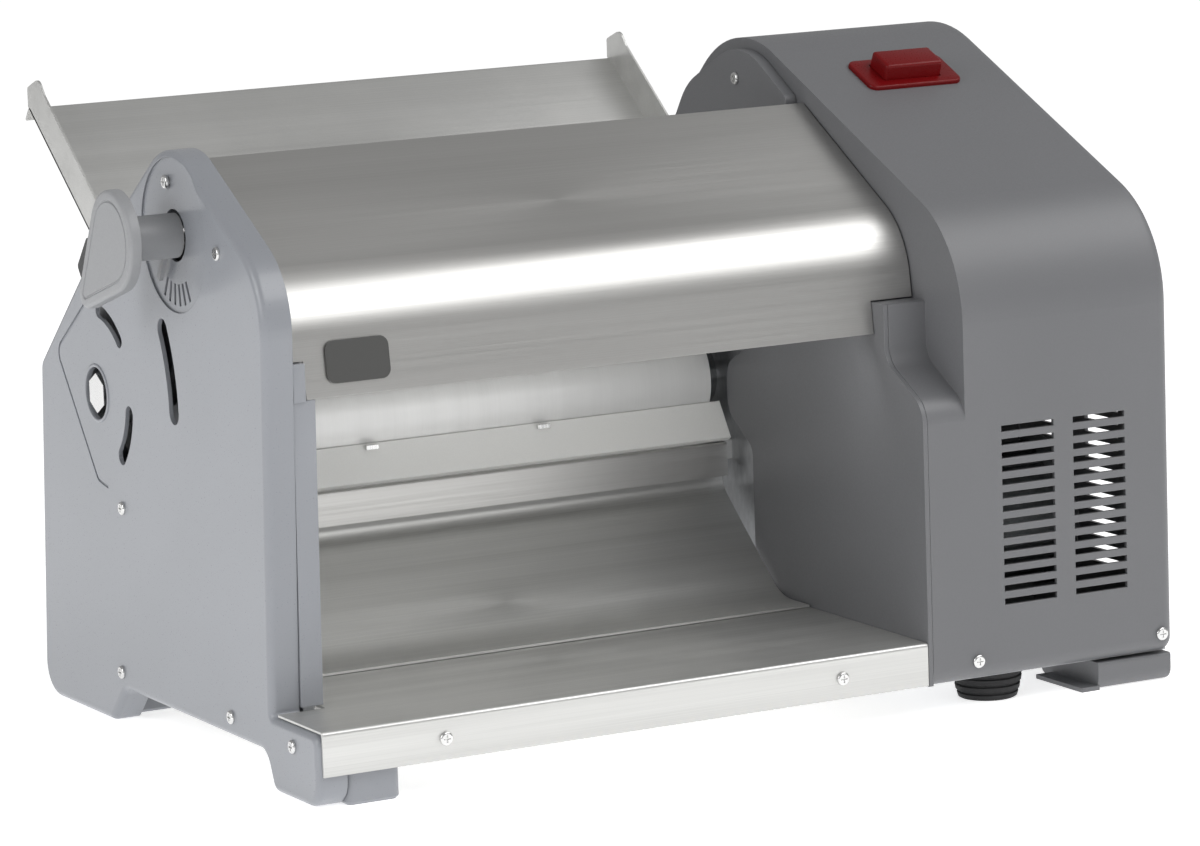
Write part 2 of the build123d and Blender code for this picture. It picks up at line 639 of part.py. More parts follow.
def make_guard():
    """Curved stainless cover in front of the rollers; it lifts about its upper back edge."""
    path = scaled([(58.0, 248.4, 0), (66.9, 313.6, 59), (196.0, 388.3, 0)])
    x0 = left_cover_width + 0.6
    x1 = casing_left - 1.2
    body = prism(strip(path, -sheet)[::-1], x0, x1)
    body -= slab(x0 - 1, 29.4, 50 * ky, 80 * ky, 240 * kz, 272.3 * kz)
    body -= slab(inner_right - 0.6, x1 + 1, 50 * ky, 80 * ky, 240 * kz, 270 * kz)
    hem = [(58.4 * ky, 248.4 * kz, 0), (64.0 * ky, 248.4 * kz, 0), (64.0 * ky, 249.9 * kz, 0),
           (58.6 * ky, 249.9 * kz, 0)]
    return body + prism(hem, 36.5, inner_right - 0.6)


def make_guard_arms():
    """End plates of the guard, with the holes for its pivot screws."""
    arms = []
    for x0 in (left_cover_width + 0.9, casing_left - 3.0):
        arm = prism(scaled([(67.2, 277.0, 1), (200.0, 368.0, 6), (200.0, 387.6, 3), (188.0, 381.2, 1),
                            (95.0, 327.2, 20), (72.3, 305.5, 10)]), x0, x0 + sheet)
        arm -= rod(guard_axis, 3.0 + running_fit, x0 - 1, x0 + sheet + 1)
        arms.append(arm)
    return arms


def make_guard_pins():
    """Pivot screws of the guard, fixed in the covers."""
    left = side_screw(0, guard_axis, 1) + rod(guard_axis, 3.0, 0, left_cover_width + 3.2)
    right = rod(guard_axis, 3.0, casing_left - 4, casing_left + wall) + \
        rod(guard_axis, 5.5, casing_left + wall, casing_left + wall + 3)
    return [left, right]


def make_badge():
    """Blank dark badge on the guard's front face."""
    return Pos(66.5, 58.0 * ky + 1.85, 270 * kz) * Rot(-7.8, 0, 0) * \
        fillet(Box(44, 1.0, 27).edges().filter_by(Axis.Y), 6)


tray_slope = math.atan2(84 * kz, 107 * ky)
tray_run = (math.cos(tray_slope), math.sin(tray_slope))
tray_up = (-math.sin(tray_slope), math.cos(tray_slope))
tray_foot = (345 * ky, 319.5 * kz)


def tray_point(along, above):
    """Point in side view, along the feed tray from its foot and above its surface."""
    return (tray_foot[0] + along * tray_run[0] + above * tray_up[0],
            tray_foot[1] + along * tray_run[1] + above * tray_up[1])


def make_feed_tray():
    """Sloping stainless feed tray with side flanges, rolled top lip and hinge tabs."""
    length = 136.0
    x0 = 14.0
    x1 = casing_left - 11
    start = tray_point(14, 0)
    top = tray_point(length, 0)
    lip = tray_point(length, -12)
    path = [(start[0], start[1], 0), (top[0], top[1], 2.5), (lip[0], lip[1], 0)]
    body = prism(strip(path, -sheet)[::-1], x0, x1)
    tongue_start = tray_point(-52, 0)
    near = tray_point(15, 0)
    tongue = [(tongue_start[0], tongue_start[1], 0), (near[0], near[1], 0)]
    body += prism(strip(tongue, -sheet)[::-1], inner_left + 3, inner_right - 3)
    flange = []
    for along, above, radius in ((0, -sheet, 10), (length + 1, -sheet, 1), (length + 9, 9, 2),
                                 (length - 2, 27, 7), (length - 16, 24, 8), (0, 24, 14)):
        y, z = tray_point(along, above)
        flange.append((y, z, radius))
    for x in (x0, x1 - sheet):
        body += prism(flange, x, x + sheet)
    for x in (inner_left + 3.4, inner_right - 6.4):
        low = tray_point(4, -1)
        back = tray_point(42, -1)
        tab = prism([(low[0], low[1], 0), (tray_axis[0] - 7, tray_axis[1] - 5, 5),
                     (tray_axis[0] + 8, tray_axis[1] - 7, 5), (back[0], back[1], 0)], x, x + 3)
        body += tab
        body -= rod(tray_axis, 4 + running_fit, x - 1, x + 4)
    return body


def make_tray_pins():
    """Hinge pins of the feed tray, pressed into the side plates."""
    left = rod(tray_axis, 4, plate_left, inner_left + 8)
    right = rod(tray_axis, 4, inner_right - 8, plate_right + side_plate)
    return [left, right]


def make_tray_brackets():
    """Dark blocks on the outside of the side plates, under the feed tray."""
    outline = scaled([(348.0, 303.0, 2), (388.0, 288.0, 3), (396.0, 299.0, 3), (378.0, 320.0, 5),
                      (356.0, 320.0, 4)])
    left = prism(outline, left_cover_width + part_gap, plate_left)
    right = prism(outline, plate_right + side_plate, plate_right + side_plate + 3.5)
    return [left, right]


def make_motor_shell():
    """Finned motor body."""
    x0 = motor_x + 6
    x1 = motor_x + 64
    body = rod(motor_axis, motor_radius, x0, x1)
    for i in range(24):
        angle = math.radians(15 * i)
        spot = (motor_axis[0] + motor_radius * math.cos(angle), motor_axis[1] + motor_radius * math.sin(angle))
        fin_cut = Pos((x0 + x1) / 2, spot[0], spot[1]) * Rot(math.degrees(angle), 0, 0) * Box(x1 - x0 + 2, 7, 5)
        body -= fin_cut
    return body - rod(motor_axis, 34, x0 - 1, x1 + 1)


def make_motor_ends():
    """Front end bell and rear fan cover of the motor."""
    front = rod(motor_axis, motor_radius, motor_x, motor_x + 6)
    front -= rod(motor_axis, 7 + running_fit, motor_x - 1, motor_x + 7)
    x1 = motor_x + 64
    back = rod(motor_axis, motor_radius, x1, x1 + 17) - rod(motor_axis, motor_radius - 2, x1 + 5, x1 + 15)
    back -= rod(motor_axis, 7 + running_fit, x1 - 1, x1 + 6)
    for i in range(8):
        angle = math.radians(45 * i)
        spot = (motor_axis[0] + 30 * math.cos(angle), motor_axis[1] + 30 * math.sin(angle))
        back -= rod(spot, 7, x1 + 14, x1 + 18)
    return [front, back]


def make_motor_rotor():
    """Motor shaft with its rotor."""
    return rod(motor_axis, 7, pulley_x - 1, motor_x + 75) + rod(motor_axis, 32, motor_x + 10, motor_x + 60)


def make_fan():
    """Cooling fan on the back of the motor shaft."""
    x0 = motor_x + 70
    body = rod(motor_axis, 14, x0, x0 + 6)
    for i in range(8):
        blade = Pos(x0 + 3, motor_axis[0], motor_axis[1]) * Rot(45 * i, 0, 0) * Pos(0, 26, 0) * Box(6, 36, 2)
        body += blade
    return body - rod(motor_axis, 7, x0 - 1, x0 + 7)


def make_motor_bracket():
    """Saddle that bolts the motor to the steel floor."""
    body = slab(motor_x + 12, motor_x + 58, motor_axis[0] - 30, motor_axis[0] + 30, 22.8,
                motor_axis[1] - motor_radius + 10)
    body -= rod(motor_axis, motor_radius, motor_x, motor_x + 80)
    return body


def make_terminal_box():
    """Terminal box on top of the motor."""
    z0 = motor_axis[1] + motor_radius
    return slab(motor_x + 15, motor_x + 55, motor_axis[0] - 20, motor_axis[0] + 20, z0, z0 + 26)


def make_jack_stud():
    """Fixed stud that carries the pinion and large pulley."""
    x0 = plate_right + side_plate
    body = rod(jack_axis, 22, x0, x0 + 6) + rod(jack_axis, 8, x0, pulley_x + 17)
    return body + rod(jack_axis, 12, pulley_x + 17, pulley_x + 19)


def make_switch_plate():
    """Red surround of the stop button."""
    plate = slab(-36.5, 36.5, -19, 19, 0, 3)
    plate = fillet(plate.edges().filter_by(Axis.Z), 5)
    plate -= slab(-22.8, 22.8, -11.3, 11.3, -1, 4)
    return switch_placed(plate)


def make_switch_box():
    """Contact box behind the stop button."""
    box = slab(-23.7, 23.7, -11.7, 11.7, -34, 0) - slab(-22.8, 22.8, -11.2, 11.2, -24, 1)
    return switch_placed(box)


def make_stop_button():
    """Red push pad."""
    pad = slab(-22.5, 22.5, -11, 11, -18, 14)
    pad = fillet(pad.faces().sort_by(Axis.Z)[-1].edges(), 1.5)
    return switch_placed(pad)


def make_gland():
    """Cable gland on the back of the casing."""
    body = Cylinder(11, 9) + Pos(0, 0, 6.5) * Cylinder(8, 12) + Pos(0, 0, -10) * Cylinder(7.9, 12)
    return Pos(right_end - 40, 441 * ky + 4.5, gland_height) * Rot(-90, 0, 0) * (body - Cylinder(4, 60))


def make_cover_screws():
    """Cross-head screws that show on the covers and the tray flange."""
    screws = []
    for point in plate_screws:
        screws.append(side_screw(0, point, plate_left))
    for point in short_screws:
        screws.append(side_screw(0, point, left_cover_width - 1))
    screws.append(side_screw(0, thin_screw, 4.2))
    for x in (casing_left + 6, right_end - 11):
        screws.append(front_screw(x, 0, 33, 8))
    for x in (88.0, inner_right - 66):
        screws.append(front_screw(x, 0, 35 * kz, 8))
    screws.append(side_screw(gear_x - 3.7, (274 * ky, 400 * kz), 8))
    return screws


def make_clips():
    """Small bright clips on the lower scraper."""
    clips = []
    tip = scraper_outline(lower_axis, 202, 238, 28)[0]
    for x in (171.0, 301.0):
        clips.append(Pos(x, tip[0] - 4.6, tip[1] - 2.0) * Box(9, 3, 3))
    return clips


def make_back_panel():
    """Stainless panel across the back, below the feed tray."""
    return slab(inner_left + 0.5, inner_right - 0.5, 424 * ky, 424 * ky + sheet, 30 * kz, 222 * kz)


half_pitch = 180.0 / roller_gear_teeth
roller_module = centre_distance / roller_gear_teeth
jack_angle = math.degrees(math.atan2(jack_axis[1] - lower_axis[1], jack_axis[0] - lower_axis[0]))

parts = {
    "left_cover": make_left_cover(),
    "left_feet": make_left_feet(),
    "left_cheek": make_left_cheek(),
    "left_side_plate": make_side_plate(plate_left),
    "right_cheek": make_right_cheek(),
    "right_side_plate": make_side_plate(plate_right),
    "left_lower_bearing": make_lower_bearing(plate_left, -1),
    "right_lower_bearing": make_lower_bearing(plate_right, 1),
    "bearing_bolts": make_bearing_bolts(),
    "drive_casing": make_casing(),
    "gear_cap": make_cap(),
    "base_plate": make_base_plate(),
    "foot_rail": make_foot_rail(),
    "rubber_feet": make_rubber_feet(),
    "discharge_tray": make_tray(),
    "curved_chute": make_chute(),
    "back_panel": make_back_panel(),
    "tie_bars": make_tie_bars(),
    "scraper_bar": make_scraper_bar(),
    "lower_scraper": make_scraper(lower_axis, 202, 238, 28, 5, inner_left + 3, inner_right - 1),
    "scraper_clips": make_clips(),
    "tray_pins": make_tray_pins(),
    "tray_brackets": make_tray_brackets(),
    "guard_pins": make_guard_pins(),
    "cover_screws": make_cover_screws(),
    "switch_plate": make_switch_plate(),
    "switch_box": make_switch_box(),
    "cable_gland": make_gland(),
    "jack_stud": make_jack_stud(),
    "motor_shell": make_motor_shell(),
    "motor_ends": make_motor_ends(),
    "motor_bracket": make_motor_bracket(),
    "terminal_box": make_terminal_box(),
    "drive_belt": make_belt(),
    "lever_plate": make_lever_plate(),
    "lever_hub": make_lever_hub(),
    "cross_shaft": rod(cross_axis, cross_shaft_radius, -36, yoke_x + side_plate),
    "cams": make_cams(),
    "left_carriage": make_carriage(18.0, 40.0),
    "right_carriage": make_carriage(inner_right - 5, yoke_x),
    "left_yoke": make_yoke(9.0, False),
    "right_yoke": make_yoke(yoke_x, True),
    "upper_scraper": make_scraper(upper_axis, 150, 100, 26, 5, inner_left + 5, inner_right - 5),
    "upper_sleeve": make_sleeve(upper_axis),
    "upper_shaft": make_roller_shaft(upper_axis, 18.5, gear_x + 14),
    "upper_gear": gear(upper_axis, roller_gear_teeth, roller_module, lift_angle + 180 + half_pitch,
                       gear_x, gear_x + 14, journal_radius),
    "lower_sleeve": make_sleeve(lower_axis),
    "lower_shaft": make_roller_shaft(lower_axis, 14.5, big_gear_x + 13),
    "lower_gear": gear(lower_axis, roller_gear_teeth, roller_module, lift_angle,
                       gear_x, gear_x + 14, journal_radius),
    "drive_gear": gear(lower_axis, drive_gear_teeth, drive_module, jack_angle,
                       big_gear_x, big_gear_x + 12, journal_radius),
    "pinion": gear(jack_axis, pinion_teeth, drive_module, jack_angle + 180 + 180.0 / pinion_teeth,
                   big_gear_x, pulley_x, 8 + running_fit),
    "large_pulley": make_pulley(jack_axis, large_pulley_radius, pulley_x, 8 + running_fit),
    "motor_rotor": make_motor_rotor(),
    "motor_pulley": make_pulley(motor_axis, small_pulley_radius, pulley_x, 7),
    "motor_fan": make_fan(),
    "guard": make_guard(),
    "guard_arms": make_guard_arms(),
    "badge": make_badge(),
    "feed_tray": make_feed_tray(),
    "stop_button": make_stop_button(),
}


def solids_of(shape):
    """Flat list of the separate solids in a piece."""
    if isinstance(shape, list):
        found = []
        for item in shape:
            found += solids_of(item)
        return found
    return list(shape.solids())


# Origin at the middle of the base, floor at zero
all_solids = {name: solids_of(shape) for name, shape in parts.items()}
boxes = [solid.bounding_box() for group in all_solids.values() for solid in group]
mid_x = (min(b.min.X for b in boxes) + max(b.max.X for b in boxes)) / 2
mid_y = (min(b.min.Y for b in boxes) + max(b.max.Y for b in boxes)) / 2
low_z = min(b.min.Z for b in boxes)
origin_shift = (-mid_x, -mid_y, -low_z)

os.makedirs("parts", exist_ok=True)
for name, group in all_solids.items():
    moved = [Pos(*origin_shift) * solid for solid in group]
    export_step(Compound(children=moved) if len(moved) > 1 else moved[0], "parts/" + name + ".step")
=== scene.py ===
"""Bench dough sheeter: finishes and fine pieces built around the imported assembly.

Lengths are in metres unless a name ends in _mm. Points given in millimetres use the machine's own
working axes: X from the left cover to the right, Y from the front to the back, Z up.
"""

import logging
import math
from dataclasses import dataclass
from enum import Enum
from typing import Callable, Iterable, Sequence

import bmesh
import bpy
from mathutils import Matrix, Vector


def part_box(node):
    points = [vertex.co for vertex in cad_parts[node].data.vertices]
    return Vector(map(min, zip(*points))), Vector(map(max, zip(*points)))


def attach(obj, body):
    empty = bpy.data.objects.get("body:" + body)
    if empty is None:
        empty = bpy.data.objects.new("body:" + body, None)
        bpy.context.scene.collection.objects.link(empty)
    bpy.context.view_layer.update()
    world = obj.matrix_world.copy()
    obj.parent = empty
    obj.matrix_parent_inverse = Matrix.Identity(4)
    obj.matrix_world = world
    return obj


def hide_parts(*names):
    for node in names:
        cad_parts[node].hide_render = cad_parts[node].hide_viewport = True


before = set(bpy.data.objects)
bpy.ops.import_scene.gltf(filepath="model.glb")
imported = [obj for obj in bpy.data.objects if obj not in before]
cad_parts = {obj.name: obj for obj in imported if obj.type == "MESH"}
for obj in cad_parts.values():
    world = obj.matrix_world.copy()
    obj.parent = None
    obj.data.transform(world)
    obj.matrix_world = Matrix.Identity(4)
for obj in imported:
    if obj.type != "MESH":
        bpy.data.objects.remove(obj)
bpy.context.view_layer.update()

LOG = logging.getLogger("dough_sheeter")
MM = 0.001
SHARP_ANGLE = math.radians(32)
MERGE_DISTANCE = 1e-6
BUMP_DISTANCE = 0.0002
STREAK_SHADE = (0.55, 0.55, 0.55, 1.0)
FLOUR_COLOUR = (0.82, 0.80, 0.76, 1.0)
FLOUR_ROUGHNESS = 0.4

Corner = tuple[float, float, float]
Colour = tuple[float, float, float]


class Datum:
    """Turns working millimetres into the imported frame, tied to two steel pieces of known place."""

    PLATE_LEFT_MM = 24.0
    FLOOR_FRONT_MM = 7.0

    def __init__(self) -> None:
        """Reads where the left side plate and the steel floor start."""
        self.x0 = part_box("left_side_plate")[0].x - self.PLATE_LEFT_MM * MM
        self.y0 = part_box("base_plate")[0].y - self.FLOOR_FRONT_MM * MM

    def at(self, x: float, y: float, z: float) -> Vector:
        """Returns the point given in working millimetres."""
        return Vector((self.x0 + x * MM, self.y0 + y * MM, z * MM))


DATUM = Datum()


# ---------------------------------------------------------------- meshes


class Workpiece:
    """A bmesh being shaped, with the few operations every piece here needs."""

    def __init__(self) -> None:
        """Starts empty."""
        self.bm = bmesh.new()

    def bevel(self, geom: list, offset_mm: float, segments: int, affect: str = "EDGES",
              clamp: bool = False) -> None:
        """Rounds edges or corners by an offset in millimetres."""
        bmesh.ops.bevel(self.bm, geom=geom, offset=offset_mm * MM, offset_type="OFFSET",
                        segments=segments, profile=0.5, affect=affect, material=-1, clamp_overlap=clamp)

    def pull(self, faces: list[bmesh.types.BMFace], offset: Sequence[float]) -> bmesh.types.BMFace:
        """Gives faces a thickness.

        Args:
            faces: the faces, which stay where they are.
            offset: how far and which way the copies go, metres.

        Returns:
            One of the moved copies.
        """
        out = bmesh.ops.extrude_face_region(self.bm, geom=faces, use_keep_orig=True)
        moved = [g for g in out["geom"] if isinstance(g, bmesh.types.BMVert)]
        bmesh.ops.translate(self.bm, verts=moved, vec=offset)
        return next(g for g in out["geom"] if isinstance(g, bmesh.types.BMFace))

    def plate(self, corners: Sequence[Corner], x0: float, x1: float, segments: int = 8) -> None:
        """Plate lying across the width, its outline given in side view.

        Args:
            corners: (y, z, corner radius) in millimetres.
            x0: left face, millimetres.
            x1: right face, millimetres.
            segments: steps in each rounded corner.
        """
        start = self.bm.verts[:]
        made = [self.bm.verts.new(DATUM.at(x0, y, z)) for y, z, _ in corners]
        self.bm.faces.new(made)
        for vert, reach in zip(made, corner_reaches(corners)):
            if reach > 0:
                self.bevel([vert], reach, segments, "VERTICES")
        known = set(start)
        face = next(f for f in self.bm.faces if not any(v in known for v in f.verts))
        self.pull([face], ((x1 - x0) * MM, 0, 0))

    def sheet(self, path: Sequence[Corner], x0: float, x1: float, thickness: float,
              segments: int = 10) -> None:
        """Bent sheet metal across the width; thickness grows to the right hand of the path.

        Args:
            path: (y, z, bend radius) in millimetres.
            x0: left edge, millimetres.
            x1: right edge, millimetres.
            thickness: sheet thickness in millimetres.
            segments: steps in each bend.
        """
        start = set(self.bm.faces)
        line = [self.bm.verts.new(DATUM.at(x0, y, z)) for y, z, _ in path]
        edges = [self.bm.edges.new((a, b)) for a, b in zip(line, line[1:])]
        out = bmesh.ops.extrude_edge_only(self.bm, edges=edges)
        moved = [g for g in out["geom"] if isinstance(g, bmesh.types.BMVert)]
        bmesh.ops.translate(self.bm, verts=moved, vec=((x1 - x0) * MM, 0, 0))
        reaches = corner_reaches(path, closed=False)
        bends = []
        for vert, reach in zip(line, reaches):
            if reach > 0:
                across = max(vert.link_edges, key=lambda e: abs(e.other_vert(vert).co.x - vert.co.x))
                bends.append((across, reach))
        for edge, reach in bends:
            self.bevel([edge], reach, segments)
        faces = [f for f in self.bm.faces if f not in start]
        self.turn_right(faces, path)
        bmesh.ops.solidify(self.bm, geom=faces, thickness=thickness * MM)

    def turn_right(self, faces: list[bmesh.types.BMFace], path: Sequence[Corner]) -> None:
        """Turns the faces to the left hand of the path, so that thickness grows behind them."""
        run = Vector((0, path[1][0] - path[0][0], path[1][1] - path[0][1])).normalized()
        left = Vector((0, -run.z, run.y))
        first = DATUM.at(0, (path[0][0] + path[1][0]) / 2, (path[0][1] + path[1][1]) / 2)
        bmesh.ops.recalc_face_normals(self.bm, faces=faces)
        nearest = min(faces, key=lambda f: (f.calc_center_median().yz - first.yz).length)
        if nearest.normal.dot(left) < 0:
            bmesh.ops.reverse_faces(self.bm, faces=faces)

    def lathe(self, profile: Sequence[tuple[float, float]], centre: Vector, axis: Sequence[float],
              steps: int = 48) -> None:
        """Turned piece.

        Args:
            profile: (distance along the axis, radius) in millimetres; radius 0 closes an end.
            centre: point that the distances start from, in the frame.
            axis: direction of the axis.
            steps: faces round the piece.
        """
        direction = Vector(axis).normalized()
        side = direction.orthogonal().normalized()
        line = [self.bm.verts.new(centre + direction * a * MM + side * r * MM) for a, r in profile]
        edges = [self.bm.edges.new((a, b)) for a, b in zip(line, line[1:])]
        bmesh.ops.spin(self.bm, geom=line + edges, cent=centre, axis=direction, angle=2 * math.pi,
                       steps=steps, use_merge=True, use_duplicate=False)
        bmesh.ops.remove_doubles(self.bm, verts=self.bm.verts[:], dist=MERGE_DISTANCE)

    def block(self, size: Sequence[float], place: Matrix, round_mm: float = 0.0,
              segments: int = 3) -> None:
        """Block with rounded edges.

        Args:
            size: length, width and height in millimetres.
            place: where it goes in the frame.
            round_mm: edge radius in millimetres.
            segments: steps in the rounding.
        """
        out = bmesh.ops.create_cube(self.bm, size=1.0)
        bmesh.ops.scale(self.bm, verts=out["verts"], vec=Vector(size) * MM)
        edges = list({e for v in out["verts"] for e in v.link_edges})
        verts = set(out["verts"])
        if round_mm > 0:
            old = set(self.bm.verts) - verts
            self.bevel(edges, round_mm, segments, clamp=True)
            verts = set(self.bm.verts) - old
        bmesh.ops.transform(self.bm, matrix=place, verts=list(verts))

    def soften(self, choose: Callable[[bmesh.types.BMEdge], bool], radius_mm: float,
               segments: int = 3) -> None:
        """Rounds the chosen edges."""
        edges = [e for e in self.bm.edges if len(e.link_faces) == 2 and choose(e)]
        self.bevel(edges, radius_mm, segments, clamp=True)

    def finish(self, name: str) -> bpy.types.Object:
        """Returns the shape as an object at the origin, smooth apart from its sharp edges."""
        bmesh.ops.remove_doubles(self.bm, verts=self.bm.verts[:], dist=MERGE_DISTANCE)
        bmesh.ops.recalc_face_normals(self.bm, faces=self.bm.faces[:])
        for face in self.bm.faces:
            face.smooth = True
        for edge in self.bm.edges:
            edge.smooth = len(edge.link_faces) == 2 and edge.calc_face_angle(0.0) < SHARP_ANGLE
        mesh = bpy.data.meshes.new(name)
        self.bm.to_mesh(mesh)
        self.bm.free()
        piece = bpy.data.objects.new(name, mesh)
        bpy.context.scene.collection.objects.link(piece)
        return piece


def corner_reaches(corners: Sequence[Corner], closed: bool = True) -> list[float]:
    """Returns, for each corner, how far along its edges its rounding starts, in millimetres."""
    count = len(corners)
    reaches = []
    for i, (y, z, radius) in enumerate(corners):
        if radius <= 0 or (not closed and i in (0, count - 1)):
            reaches.append(0.0)
            continue
        before = Vector((y - corners[i - 1][0], z - corners[i - 1][1]))
        after_corner = corners[(i + 1) % count]
        after = Vector((after_corner[0] - y, after_corner[1] - z))
        turn = abs(before.angle(after))
        if turn < 0.02:
            reaches.append(0.0)
            continue
        reaches.append(min(radius * math.tan(turn / 2), 0.46 * before.length, 0.46 * after.length))
    return reaches


# ---------------------------------------------------------------- shader groups


class ShaderGroup:
    """A shader node group with named sockets, built once and placed in many materials."""

    def __init__(self, name: str, inputs: dict[str, float], outputs: dict[str, str]) -> None:
        """Makes the empty group.

        Args:
            name: name of the group.
            inputs: value inputs and their defaults.
            outputs: output names and their socket types.
        """
        self.tree = bpy.data.node_groups.new(name, "ShaderNodeTree")
        for label, value in inputs.items():
            socket = self.tree.interface.new_socket(name=label, in_out="INPUT",
                                                    socket_type="NodeSocketFloat")
            socket.default_value = value
        for label, kind in outputs.items():
            self.tree.interface.new_socket(name=label, in_out="OUTPUT", socket_type=kind)
        self.source = self.tree.nodes.new("NodeGroupInput")
        self.sink = self.tree.nodes.new("NodeGroupOutput")

    def add(self, kind: str, **settings: object) -> bpy.types.Node:
        """Adds a node with the given properties."""
        return add_node(self.tree, kind, **settings)

    def link(self, a: bpy.types.NodeSocket, b: bpy.types.NodeSocket) -> None:
        """Joins two sockets."""
        self.tree.links.new(a, b)


def add_node(tree: bpy.types.NodeTree, kind: str, **settings: object) -> bpy.types.Node:
    """Adds a node to a tree and sets its properties."""
    node = tree.nodes.new(kind)
    for key, value in settings.items():
        setattr(node, key, value)
    return node


def math_node(tree: bpy.types.NodeTree, operation: str, a: object, b: object) -> bpy.types.NodeSocket:
    """Adds a Math node; each operand is a socket or a number."""
    node = add_node(tree, "ShaderNodeMath", operation=operation)
    for socket, value in zip(node.inputs, (a, b)):
        if isinstance(value, (int, float)):
            socket.default_value = value
        else:
            tree.links.new(value, socket)
    return node.outputs[0]


def map_range(tree: bpy.types.NodeTree, value: bpy.types.NodeSocket, low: float, high: float,
              to_low: float, to_high: float) -> bpy.types.NodeSocket:
    """Adds a clamped Map Range node and returns its result."""
    node = add_node(tree, "ShaderNodeMapRange", clamp=True)
    tree.links.new(value, node.inputs["Value"])
    limits = {"From Min": low, "From Max": high, "To Min": to_low, "To Max": to_high}
    for label, number in limits.items():
        node.inputs[label].default_value = number
    return node.outputs["Result"]


def object_noise(tree: bpy.types.NodeTree, stretch: Sequence[float], detail: float,
                 scale: float = 1.0) -> bpy.types.NodeSocket:
    """Noise on object coordinates, stretched along the axes; returns its value."""
    coords = add_node(tree, "ShaderNodeTexCoord")
    mapping = add_node(tree, "ShaderNodeMapping")
    mapping.inputs["Scale"].default_value = stretch
    noise = add_node(tree, "ShaderNodeTexNoise")
    noise.inputs["Scale"].default_value = scale
    noise.inputs["Detail"].default_value = detail
    tree.links.new(coords.outputs["Object"], mapping.inputs["Vector"])
    tree.links.new(mapping.outputs["Vector"], noise.inputs["Vector"])
    return noise.outputs["Fac"]


def edge_group() -> ShaderGroup:
    """Rounded edges: a softened normal and a mask that is 1 along edges, broken up by noise."""
    group = ShaderGroup("rounded_edges", {"Radius": 0.0006, "Break Up": 0.5},
                        {"Normal": "NodeSocketVector", "Mask": "NodeSocketFloat"})
    bevel = group.add("ShaderNodeBevel", samples=4)
    group.link(group.source.outputs["Radius"], bevel.inputs["Radius"])
    geometry = group.add("ShaderNodeNewGeometry")
    dot = group.add("ShaderNodeVectorMath", operation="DOT_PRODUCT")
    group.link(bevel.outputs["Normal"], dot.inputs[0])
    group.link(geometry.outputs["Normal"], dot.inputs[1])
    edge = map_range(group.tree, dot.outputs["Value"], 0.995, 0.80, 0.0, 1.0)
    patchy = object_noise(group.tree, (60.0, 60.0, 60.0), 4.0)
    broken = map_range(group.tree, patchy, 0.35, 0.62, 0.0, 1.0)
    mix = math_node(group.tree, "MULTIPLY", broken, group.source.outputs["Break Up"])
    keep = math_node(group.tree, "SUBTRACT", 1.0, mix)
    group.link(math_node(group.tree, "MULTIPLY", edge, keep), group.sink.inputs["Mask"])
    group.link(bevel.outputs["Normal"], group.sink.inputs["Normal"])
    return group


def grain_group(name: str, fine: Sequence[float], broad: Sequence[float]) -> ShaderGroup:
    """Directional grain.

    Args:
        name: name of the group.
        fine: stretch of the finest marks, per metre.
        broad: stretch of the wide, faint bands, per metre.

    Returns:
        The group, with outputs Streak (fine marks), Band (wide bands) and Height.
    """
    outputs = {label: "NodeSocketFloat" for label in ("Streak", "Band", "Height")}
    group = ShaderGroup(name, {"Depth": 1.0}, outputs)
    streak = object_noise(group.tree, fine, 3.0)
    band = object_noise(group.tree, broad, 2.0)
    height = math_node(group.tree, "MULTIPLY", streak, group.source.outputs["Depth"])
    group.link(map_range(group.tree, streak, 0.3, 0.7, 0.0, 1.0), group.sink.inputs["Streak"])
    group.link(map_range(group.tree, band, 0.3, 0.7, 0.0, 1.0), group.sink.inputs["Band"])
    group.link(height, group.sink.inputs["Height"])
    return group


def dust_group() -> ShaderGroup:
    """Faint flour dust on faces that look up; Mask is 1 where it lies thickest."""
    group = ShaderGroup("flour_dust", {"Amount": 0.2}, {"Mask": "NodeSocketFloat"})
    geometry = group.add("ShaderNodeNewGeometry")
    split = group.add("ShaderNodeSeparateXYZ")
    group.link(geometry.outputs["Normal"], split.inputs[0])
    facing = map_range(group.tree, split.outputs["Z"], 0.55, 1.0, 0.0, 1.0)
    patchy = object_noise(group.tree, (22.0, 22.0, 22.0), 6.0)
    cloud = map_range(group.tree, patchy, 0.42, 0.72, 0.0, 1.0)
    both = math_node(group.tree, "MULTIPLY", facing, cloud)
    film = math_node(group.tree, "MULTIPLY", both, group.source.outputs["Amount"])
    group.link(film, group.sink.inputs["Mask"])
    return group


class Grain(Enum):
    """Surface texture of a finish: the marks' stretch, fine then broad, per metre."""

    BRUSHED = ("brushed_across_width", (5.0, 1500.0, 1500.0), (1.2, 60.0, 60.0))
    TURNED = ("turned_round_axis", (1400.0, 12.0, 12.0), (70.0, 4.0, 4.0))
    MOULDED = ("moulded_skin", (900.0, 900.0, 900.0), (7.0, 7.0, 7.0))
    CAST = ("cast_skin", (420.0, 420.0, 420.0), (30.0, 30.0, 30.0))
    ROLLED = ("rolled_sheet", (300.0, 300.0, 120.0), (14.0, 14.0, 5.0))


class GroupShelf:
    """The shared node groups, each built the first time it is asked for."""

    def __init__(self) -> None:
        """Starts with the groups that every finish uses."""
        self.edges = edge_group()
        self.dust = dust_group()
        self.grains: dict[Grain, ShaderGroup] = {}

    def grain(self, kind: Grain) -> ShaderGroup:
        """Returns the group of one kind of grain."""
        if kind not in self.grains:
            self.grains[kind] = grain_group(*kind.value)
        return self.grains[kind]


